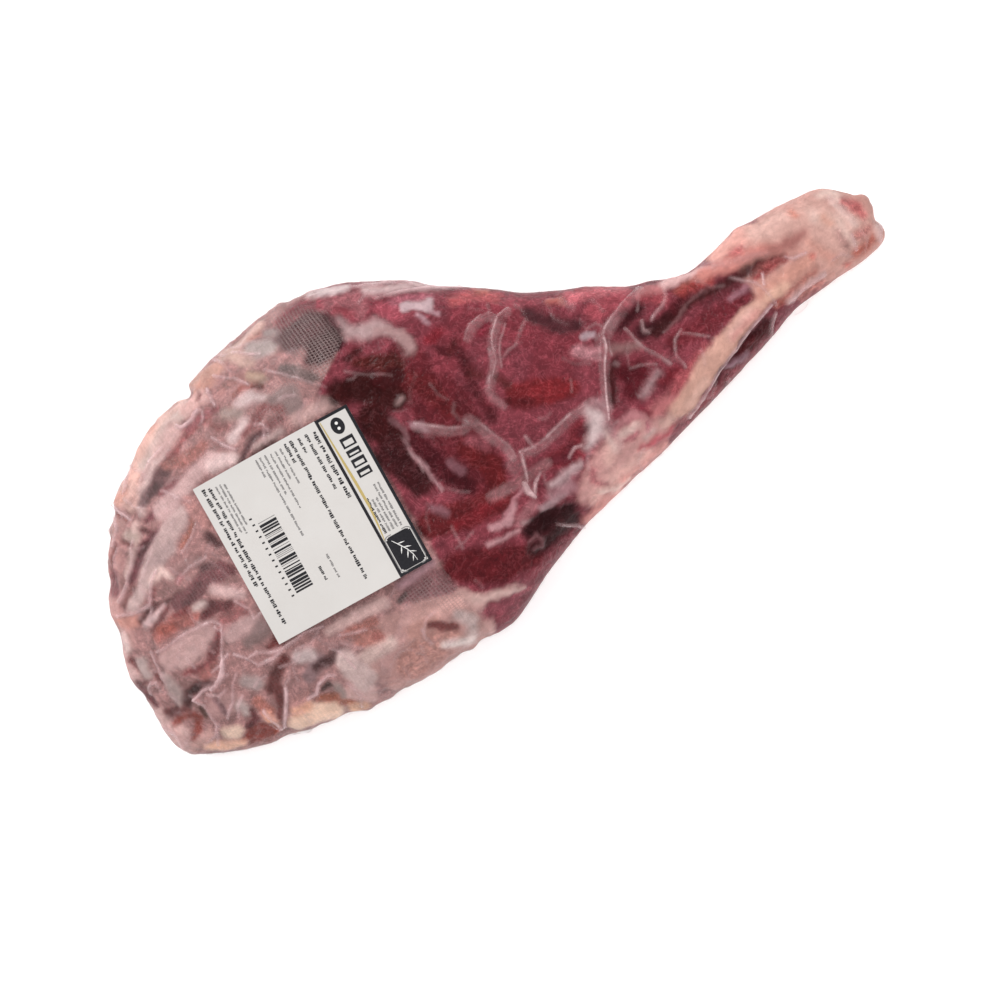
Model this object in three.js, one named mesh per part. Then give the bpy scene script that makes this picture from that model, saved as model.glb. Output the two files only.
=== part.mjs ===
// A vacuum-packed hind leg of wild boar, bone in, lying on its outer side.
//
// The leg is one piece of meat on its own bones. A square of waxed gauze is folded over the rump end,
// so that the cut hip bone can't pierce the bag. Round both lies a vacuum pouch of two clear films, drawn
// down tight and welded where they meet along the outline, with a paper label stuck on top.
//
// Millimetres. +X runs from the rump to the hock, +Y across the leg to the hamstring side, and +Z up.
// The origin is on the floor, under the middle of the pack's box.

import * as THREE from 'three';
import { LoftGeometry } from 'three/addons/geometries/LoftGeometry.js';

// --- Driving dimensions -----------------------------------------------------------------------------

const RUMP_END = -250;
const HOCK_END = 250;
const EDGE_WALL = 3; // half the height of the upright band round the meat's outline
const BELLY = { restsFrom: -215, restsTo: 40, rumpLift: 6, shankFrom: 140, shankLift: 9 };
const POINTS_ACROSS = 16; // steps of each arc, over the top and under the belly
const END_OPENING = 0.12; // of an end face, left open in the middle by the layers that close over it

// Each layer lies this far out from the meat, with clear air between it and the next.
const GAUZE = { inside: 0.4, outside: 0.7, reaches: -66, tuck: 6 }; // tuck is in ring points
const FILM = { inside: 1.1, outside: 1.5 };
const WELD_GAP = 0.2; // from the parting plane to the edge of each film

const LABEL = {
  length: 97, // along its lines of print
  height: 94,
  thick: 0.3,
  centre: [-111, -4],
  turn: THREE.MathUtils.degToRad(-97), // of its lines of print, from +X
  lift: 3, // over the meat
  steps: 10,
};

// --- The leg's profiles along X ---------------------------------------------------------------------

// A smooth curve through [x, value] pairs, as a function of x.
function profile(points) {
  const at = points.map(([x]) => x);
  const values = points.map(([, value]) => value);
  const curve = new THREE.CubicInterpolant(at, values, 1, new Float32Array(1));
  return (x) => curve.evaluate(THREE.MathUtils.clamp(x, at[0], at.at(-1)))[0];
}

// The outline seen from above: the shin side, and the hamstring side.
const shinEdge = profile([
  [-250, -58], [-247, -69], [-225, -83], [-205, -91], [-150, -106], [-100, -110], [-45, -110.5],
  [-22, -101], [5, -91], [70, -79.5], [135, -66.5], [190, -53], [240, -51], [247, -47], [250, -39],
]);
const hamEdge = profile([
  [-250, -24], [-247, -9], [-238, 20], [-220, 50], [-190, 78], [-160, 94.5], [-136, 98], [-114, 107],
  [-60, 111.5], [-30, 104], [0, 87], [60, 39.5], [115, 8], [145, -3], [180, 3], [232, -5], [250, -25],
]);

// How high the outline's band lies, and how far the meat rises over it.
const partingLevel = profile([
  [-250, 24], [-200, 33], [-120, 38], [-20, 36], [60, 34], [120, 33], [200, 32], [250, 31],
]);
const topRise = profile([
  [-250, 13], [-225, 22], [-190, 30], [-140, 36], [-80, 40], [-20, 38], [40, 32], [90, 26],
  [140, 21], [190, 19], [230, 18], [250, 11],
]);

// The belly lies flat on the floor along the thigh, and lifts a little towards both ends.
function bellyLift(x) {
  const { smoothstep } = THREE.MathUtils;
  const atRump = BELLY.rumpLift * smoothstep(-x, -BELLY.restsFrom, -RUMP_END);
  return atRump + BELLY.shankLift * smoothstep(x, BELLY.restsTo, BELLY.shankFrom);
}

// How far in from the outline the top and the belly have finished rounding over.
const topRounding = profile([[-250, 40], [-180, 62], [-60, 66], [30, 52], [100, 34], [150, 27], [250, 27]]);
const bellyRounding = profile([[-250, 26], [-180, 40], [-40, 44], [60, 40], [120, 28], [250, 26]]);

// Rises and hollows of the top: a soft mound on a line from one point to another.
const RELIEF = [
  { what: 'knee', from: [52, -62], to: [74, -52], reach: 20, rise: 8 },
  { what: 'shin bone', from: [80, -64], to: [196, -38], reach: 10, rise: 4 },
  { what: 'hamstring tendon', from: [128, -9], to: [215, -8], reach: 10, rise: 3 },
  { what: 'hollow before the tendon', from: [104, -14], to: [174, -30], reach: 12, rise: -4 },
  { what: 'hip bone', from: [-120, 60], to: [-75, 72], reach: 24, rise: 6 },
  { what: 'hollow beside the hip', from: [-52, 40], to: [-56, -28], reach: 18, rise: -6 },
  { what: 'thigh muscle', from: [-22, 40], to: [20, 12], reach: 30, rise: 4 },
  { what: 'groove down the thigh', from: [-30, -42], to: [30, -52], reach: 11, rise: -4 },
];

// --- The leg's surface ------------------------------------------------------------------------------

// The stations along X, close together where the ends round off.
function stations() {
  const rumpEnd = [0, 1.5, 5, 11, 19, 29, 41, 55].map((d) => RUMP_END + d);
  const hockEnd = [26, 17, 10, 5, 1.5, 0].map((d) => HOCK_END - d);
  const [first, last] = [rumpEnd.at(-1), hockEnd[0]];
  const steps = 29;
  const between = Array.from({ length: steps - 1 }, (_, i) => first + ((i + 1) / steps) * (last - first));
  return [...rumpEnd, ...between, ...hockEnd];
}
const STATIONS = stations();
const OUTLINE = [
  ...STATIONS.map((x) => new THREE.Vector2(x, shinEdge(x))),
  ...STATIONS.toReversed().map((x) => new THREE.Vector2(x, hamEdge(x))),
];

// The distance from a point to the stretch between two others.
function toStretch(point, from, to) {
  const along = to.clone().sub(from);
  const share = point.clone().sub(from).dot(along) / Math.max(along.lengthSq(), 1e-9);
  return point.distanceTo(from.clone().addScaledVector(along, THREE.MathUtils.clamp(share, 0, 1)));
}

function insetFromOutline(x, y) {
  const point = new THREE.Vector2(x, y);
  const insets = OUTLINE.map((from, i) => toStretch(point, from, OUTLINE[(i + 1) % OUTLINE.length]));
  return Math.min(...insets);
}

// A quarter round: upright at the outline, level from a full rounding inwards.
function quarterRound(inset, rounding) {
  const left = 1 - Math.min(inset / rounding, 1);
  return Math.sqrt(1 - left * left);
}

function relief(x, y) {
  const point = new THREE.Vector2(x, y);
  return RELIEF.reduce((sum, { from, to, reach, rise }) => {
    const away = toStretch(point, new THREE.Vector2(...from), new THREE.Vector2(...to)) / reach;
    return sum + rise * Math.exp(-away * away);
  }, 0);
}

function topHeight(x, y) {
  const round = quarterRound(insetFromOutline(x, y), topRounding(x));
  return FILM.outside + partingLevel(x) + EDGE_WALL + round * (topRise(x) + relief(x, y));
}

function bellyHeight(x, y) {
  const round = quarterRound(insetFromOutline(x, y), bellyRounding(x));
  const deep = partingLevel(x) - EDGE_WALL - bellyLift(x);
  return FILM.outside + bellyLift(x) + deep * (1 - round);
}

// One ring round the meat: the weld on the hamstring side, over the top, the weld on the shin side, and
// back under the belly.
function ring(x) {
  const middle = (shinEdge(x) + hamEdge(x)) / 2;
  const half = (hamEdge(x) - shinEdge(x)) / 2;
  const across = Array.from({ length: POINTS_ACROSS + 1 }, (_, i) => {
    return middle + half * Math.cos((Math.PI * i) / POINTS_ACROSS);
  });
  const level = FILM.outside + partingLevel(x);
  return [
    new THREE.Vector3(x, middle + half, level),
    ...across.map((y) => new THREE.Vector3(x, y, topHeight(x, y))),
    new THREE.Vector3(x, middle - half, level),
    ...across.toReversed().map((y) => new THREE.Vector3(x, y, bellyHeight(x, y))),
  ];
}
const RINGS = STATIONS.map(ring);
const SHIN_WELD = POINTS_ACROSS + 2; // its place in a ring, where the hamstring side's weld is 0

// A small ring in the middle of an end face, which lets a layer close over that face.
function endRing(of) {
  const middle = of.reduce((sum, point) => sum.add(point), new THREE.Vector3()).divideScalar(of.length);
  return of.map((point) => point.clone().lerp(middle, 1 - END_OPENING));
}
const CLOSED_RINGS = [endRing(RINGS[0]), ...RINGS, endRing(RINGS.at(-1))];

// The rings again, each point moved out from the meat along the surface's own normal there.
const SKIN = new LoftGeometry(CLOSED_RINGS);
function layer(out) {
  const normal = new THREE.Vector3();
  return CLOSED_RINGS.map((points, i) =>
    points.map((point, j) => {
      normal.fromBufferAttribute(SKIN.attributes.normal, i * (points.length + 1) + j);
      return point.clone().addScaledVector(normal, out);
    }),
  );
}

// --- The pieces -------------------------------------------------------------------------------------

function piece(name, geometry, color, roughness, more = {}) {
  const material = new THREE.MeshStandardMaterial({ color, roughness, metalness: 0, ...more });
  const mesh = new THREE.Mesh(geometry, material);
  mesh.name = name;
  return mesh;
}

function solidLoft(sections) {
  return new LoftGeometry(sections, { closed: true, capStart: true, capEnd: true });
}

// A thin sheet round part of the leg: lengthwise from the rump's end face to `lastRing`, and around from
// one point of the rings to another. Its two long edges are moved up by `raise`. Both its faces split
// their quads the same way as the meat, so that they stay parallel to it.
function sheet({ inside, outside }, start, end, lastRing, raise = 0) {
  const columns = end - start + 1;
  const lift = (j) => new THREE.Vector3(0, 0, j === 0 || j === columns - 1 ? raise : 0);
  const face = (out) => layer(out).slice(0, lastRing + 1).flatMap((points) => {
    const at = (j) => points.at((start + j) % points.length).clone().add(lift(j));
    return Array.from({ length: columns }, (_, j) => at(j));
  });
  const [inner, outer] = [face(inside), face(outside)];
  const triangles = [];
  const quad = (a, b, c, d) => triangles.push(a, b, d, b, c, d);
  for (let i = 0; i < lastRing; i++)
    for (let j = 0; j < columns - 1; j++) {
      const a = i * columns + j;
      const [b, c, d] = [a + 1, a + columns + 1, a + columns];
      quad(c, b, a, d);
      quad(...[a, b, c, d].map((k) => k + inner.length));
    }
  const rim = rimOf(lastRing + 1, columns);
  rim.forEach((p, k) => {
    const q = rim[(k + 1) % rim.length];
    quad(p, q, q + inner.length, p + inner.length);
  });
  return new THREE.BufferGeometry().setFromPoints([...inner, ...outer]).setIndex(triangles);
}

// The places of a grid's outermost points, in order round it.
function rimOf(rows, columns) {
  const row = Array.from({ length: rows - 1 }, (_, i) => i);
  const column = Array.from({ length: columns - 1 }, (_, j) => j);
  const last = rows * columns - 1;
  return [
    ...column,
    ...row.map((i) => i * columns + columns - 1),
    ...column.map((j) => last - j),
    ...row.map((i) => last - (columns - 1) - i * columns),
  ];
}

function leg() {
  return piece('leg', solidLoft(RINGS), 0x8a3a40, 0.45);
}

// The gauze wraps the rump end and stops across the thigh, with its sides tucked under the belly.
function boneGuard() {
  const lastRing = CLOSED_RINGS.findIndex(([point]) => point.x > GAUZE.reaches);
  const geometry = sheet(GAUZE, -GAUZE.tuck, SHIN_WELD + GAUZE.tuck, lastRing);
  return piece('bone_guard_gauze', geometry, 0xb9a09a, 0.8);
}

function films() {
  const last = CLOSED_RINGS.length - 1;
  const look = { transparent: true, opacity: 0.35 };
  const over = sheet(FILM, 0, SHIN_WELD, last, WELD_GAP);
  const under = sheet(FILM, SHIN_WELD, 2 * SHIN_WELD, last, -WELD_GAP);
  return [
    piece('film_top', over, 0xe6dcdc, 0.15, look),
    piece('film_bottom', under, 0xe6dcdc, 0.15, look),
  ];
}

// Paper bends with the meat under it and keeps straight edges when seen from above.
function label() {
  const reading = new THREE.Vector2(Math.cos(LABEL.turn), Math.sin(LABEL.turn));
  const upright = new THREE.Vector2(-reading.y, reading.x);
  const at = (i, j, up) => {
    const place = new THREE.Vector2(...LABEL.centre)
      .addScaledVector(reading, LABEL.length * (i / LABEL.steps - 0.5))
      .addScaledVector(upright, LABEL.height * (j / LABEL.steps - 0.5));
    return new THREE.Vector3(place.x, place.y, topHeight(place.x, place.y) + LABEL.lift + up);
  };
  const sections = [];
  for (let i = 0; i <= LABEL.steps; i++) {
    const under = [];
    const over = [];
    for (let j = 0; j <= LABEL.steps; j++) {
      under.push(at(i, j, 0));
      over.unshift(at(i, j, LABEL.thick));
    }
    sections.push([...under, ...over]);
  }
  return piece('label', solidLoft(sections), 0xdedad6, 0.6);
}

// --- The pack ---------------------------------------------------------------------------------------

const pack = new THREE.Group();
pack.add(leg(), boneGuard(), ...films(), label());

// The origin goes under the middle of the box.
const box = new THREE.Box3().setFromObject(pack);
const middle = box.getCenter(new THREE.Vector3());
pack.position.set(-middle.x, -middle.y, -box.min.z);

export default pack;
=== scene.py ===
import math

import bmesh
import bpy
import numpy as np
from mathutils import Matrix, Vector
from mathutils.bvhtree import BVHTree


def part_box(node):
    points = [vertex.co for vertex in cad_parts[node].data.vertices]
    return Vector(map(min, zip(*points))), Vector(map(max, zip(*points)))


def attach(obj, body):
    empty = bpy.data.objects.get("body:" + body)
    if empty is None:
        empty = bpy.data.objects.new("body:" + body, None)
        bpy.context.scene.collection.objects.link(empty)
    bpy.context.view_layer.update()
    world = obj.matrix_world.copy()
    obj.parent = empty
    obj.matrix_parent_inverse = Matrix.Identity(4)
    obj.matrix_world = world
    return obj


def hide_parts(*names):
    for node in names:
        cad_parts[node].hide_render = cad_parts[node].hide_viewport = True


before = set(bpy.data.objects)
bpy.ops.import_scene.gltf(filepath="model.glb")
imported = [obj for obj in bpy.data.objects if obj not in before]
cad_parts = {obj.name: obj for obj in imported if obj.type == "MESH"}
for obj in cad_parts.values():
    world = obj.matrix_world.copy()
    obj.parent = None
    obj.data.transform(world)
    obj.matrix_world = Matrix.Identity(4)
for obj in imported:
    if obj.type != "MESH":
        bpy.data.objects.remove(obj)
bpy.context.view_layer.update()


# The leg: a wild boar's hind leg on the bone, skinned and trimmed, about half a metre from rump to hock.
# Wine-red muscle lies under silverskin, strands of fat and, down the shank, bare shin bone and tendon.
# Grown from the CAD leg, then worked stroke by stroke: each stroke lays one tissue and raises or sinks it.

LEG_STEP = 0.00120  # metres between the leg's points
FLOOR_GAP = 1.0  # mm from the floor to the meat, which its own weight flattens


def linear(shade):
    """An sRGB hex colour as linear red, green, blue and alpha."""
    parts = [int(shade[i : i + 2], 16) / 255 for i in (0, 2, 4)]
    return [c / 12.92 if c <= 0.04045 else ((c + 0.055) / 1.055) ** 2.4 for c in parts] + [1.0]


def node(tree, kind, inputs=(), **settings):
    """Adds one node: settings are its properties; inputs pair each socket with a value or another output."""
    made = tree.nodes.new(kind)
    for name, value in settings.items():
        setattr(made, name, value)
    for socket, value in inputs:
        if isinstance(value, bpy.types.NodeSocket):
            tree.links.new(value, made.inputs[socket])
        else:
            made.inputs[socket].default_value = value
    return made


def lumps(spots, size, seed):
    """Smooth random lumps from -1 to 1, about size mm across, at each spot in mm."""
    grid = np.random.default_rng(seed).uniform(-1, 1, (48, 48, 48))
    cell = spots / size
    low = np.floor(cell).astype(int)
    t = cell - low
    t = t * t * (3 - 2 * t)
    total = np.zeros(len(spots))
    for corner in np.ndindex(2, 2, 2):
        weight = np.ones(len(spots))
        place = []
        for axis in range(3):
            weight = weight * (t[:, axis] if corner[axis] else 1 - t[:, axis])
            place.append((low[:, axis] + corner[axis]) % 48)
        total += weight * grid[tuple(place)]
    return total


def cover(spots, path, soft):
    """How far a stroke covers each spot, 0 to 1. The path holds (x, y, half width) in mm, seen from above."""
    path = np.array(path if len(path) > 1 else list(path) * 2, float)
    widest = path[:, 2].max() + soft
    low, high = path[:, :2].min(0) - widest, path[:, :2].max(0) + widest
    near = np.flatnonzero(((spots[:, :2] > low) & (spots[:, :2] < high)).all(1))
    here = spots[near, :2]
    inside = np.full(len(near), -1e9)
    for a, b in zip(path[:-1], path[1:]):
        run = (b - a)[:2]
        t = np.clip((here - a[:2]) @ run / max(run @ run, 1e-9), 0, 1)
        gap = np.hypot(*(here - a[:2] - t[:, None] * run).T)
        inside = np.maximum(inside, a[2] + t * (b[2] - a[2]) - gap)
    share = np.clip(inside / soft * 0.5 + 0.5, 0, 1)
    whole = np.zeros(len(spots))
    whole[near] = share * share * (3 - 2 * share)
    return whole


def grown(name, step):
    """An even, fine mesh of the CAD leg's rounded surface, with its points about step metres apart."""
    rough = bpy.data.objects.new(name + "_rough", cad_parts["leg"].data.copy())
    bpy.context.scene.collection.objects.link(rough)
    shell = bmesh.new()
    shell.from_mesh(rough.data)
    bmesh.ops.remove_doubles(shell, verts=shell.verts, dist=1e-5)
    bmesh.ops.join_triangles(
        shell, faces=shell.faces,
        angle_face_threshold=math.radians(40), angle_shape_threshold=math.radians(60),
    )
    shell.to_mesh(rough.data)
    shell.free()
    rounding = rough.modifiers.new("rounding", "SUBSURF")
    rounding.levels = 2
    even = rough.modifiers.new("even", "REMESH")
    even.mode, even.voxel_size = "VOXEL", step
    mesh = bpy.data.meshes.new_from_object(rough.evaluated_get(bpy.context.evaluated_depsgraph_get()))
    bpy.data.objects.remove(rough)
    mesh.name = name
    mesh.materials.clear()
    return mesh


def points_of(mesh):
    """A mesh's points in mm and its normals, as arrays."""
    spots = np.zeros(len(mesh.vertices) * 3)
    mesh.vertices.foreach_get("co", spots)
    facing = np.zeros(len(mesh.vertices) * 3, np.float32)
    mesh.vertex_normals.foreach_get("vector", facing)
    return spots.reshape(-1, 3) * 1000, facing.reshape(-1, 3).astype(float)


def evened(mesh, values, turns, least=None):
    """Values at the mesh's points, each turned towards its neighbours' mean, and kept above least."""
    pairs = np.zeros(len(mesh.edges) * 2, int)
    mesh.edges.foreach_get("vertices", pairs)
    a, b = pairs.reshape(-1, 2).T
    count = np.bincount(a, minlength=len(values)) + np.bincount(b, minlength=len(values))
    for _ in range(turns):
        total = np.bincount(a, values[b], len(values)) + np.bincount(b, values[a], len(values))
        values = 0.5 * values + 0.5 * total / count
        if least is not None:
            values = np.maximum(values, least)
    return values


def mark(mesh, name, values):
    """Keeps one number, or one colour, for each of the mesh's points, for its material to read."""
    if values.ndim == 1:
        mesh.attributes.new(name, "FLOAT", "POINT").data.foreach_set("value", values.astype(np.float32))
    else:
        full = np.column_stack([values, np.ones(len(values))]).astype(np.float32)
        mesh.attributes.new(name, "FLOAT_COLOR", "POINT").data.foreach_set("color", full.ravel())


def piece(name, mesh, material):
    """Puts a mesh in the scene as a piece of the leg's pack, smooth, with its material."""
    made = bpy.data.objects.new(name, mesh)
    bpy.context.scene.collection.objects.link(made)
    for one in material if isinstance(material, list) else [material]:
        mesh.materials.append(one)
    mesh.polygons.foreach_set("use_smooth", [True] * len(mesh.polygons))
    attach(made, "root")
    return made


# The gauze bone guard's free edge over the ham, as points of (y, x) in mm on the upper side.
FREE_EDGE = [
    (-112, -65), (-63, -65.5), (40, -62), (49, -64), (54, -70), (58, -65), (62, -58), (66, -51), (70, -44),
    (74, -38), (78, -38), (84, -39), (90, -40), (97, -44), (108, -34),
]
UNDER_EDGE = -66  # mm, the x at which the edge runs straight across the side it lies on


def behind(spots, facing):
    """How far each spot lies behind the gauze's free edge, in mm."""
    upper = np.interp(spots[:, 1], *np.array(FREE_EDGE).T)
    up = np.clip(facing[:, 2] / 0.4 + 0.5, 0, 1)
    return UNDER_EDGE + (upper - UNDER_EDGE) * up - spots[:, 0]


# Each tissue: how soft its edge is and how far it stands up, in mm, and how much muscle grain shows in it.
TISSUES = {
    "meat": (2.6, -0.2, 1.0),
    # hollow strokes are sunk and given dark shades: their darkness is painted shade in the recesses
    "hollow": (3.0, -1.6, 0.6),
    "clot": (1.6, -0.7, 0.3),
    "fat": (2.2, 1.2, 0.0),
    "rind": (2.4, 1.0, 0.15),
    "web": (3.6, 0.3, 0.1),
    "silverskin": (1.6, 0.4, 0.2),
    "bone": (2.0, 0.9, 0.0),
}
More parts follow.
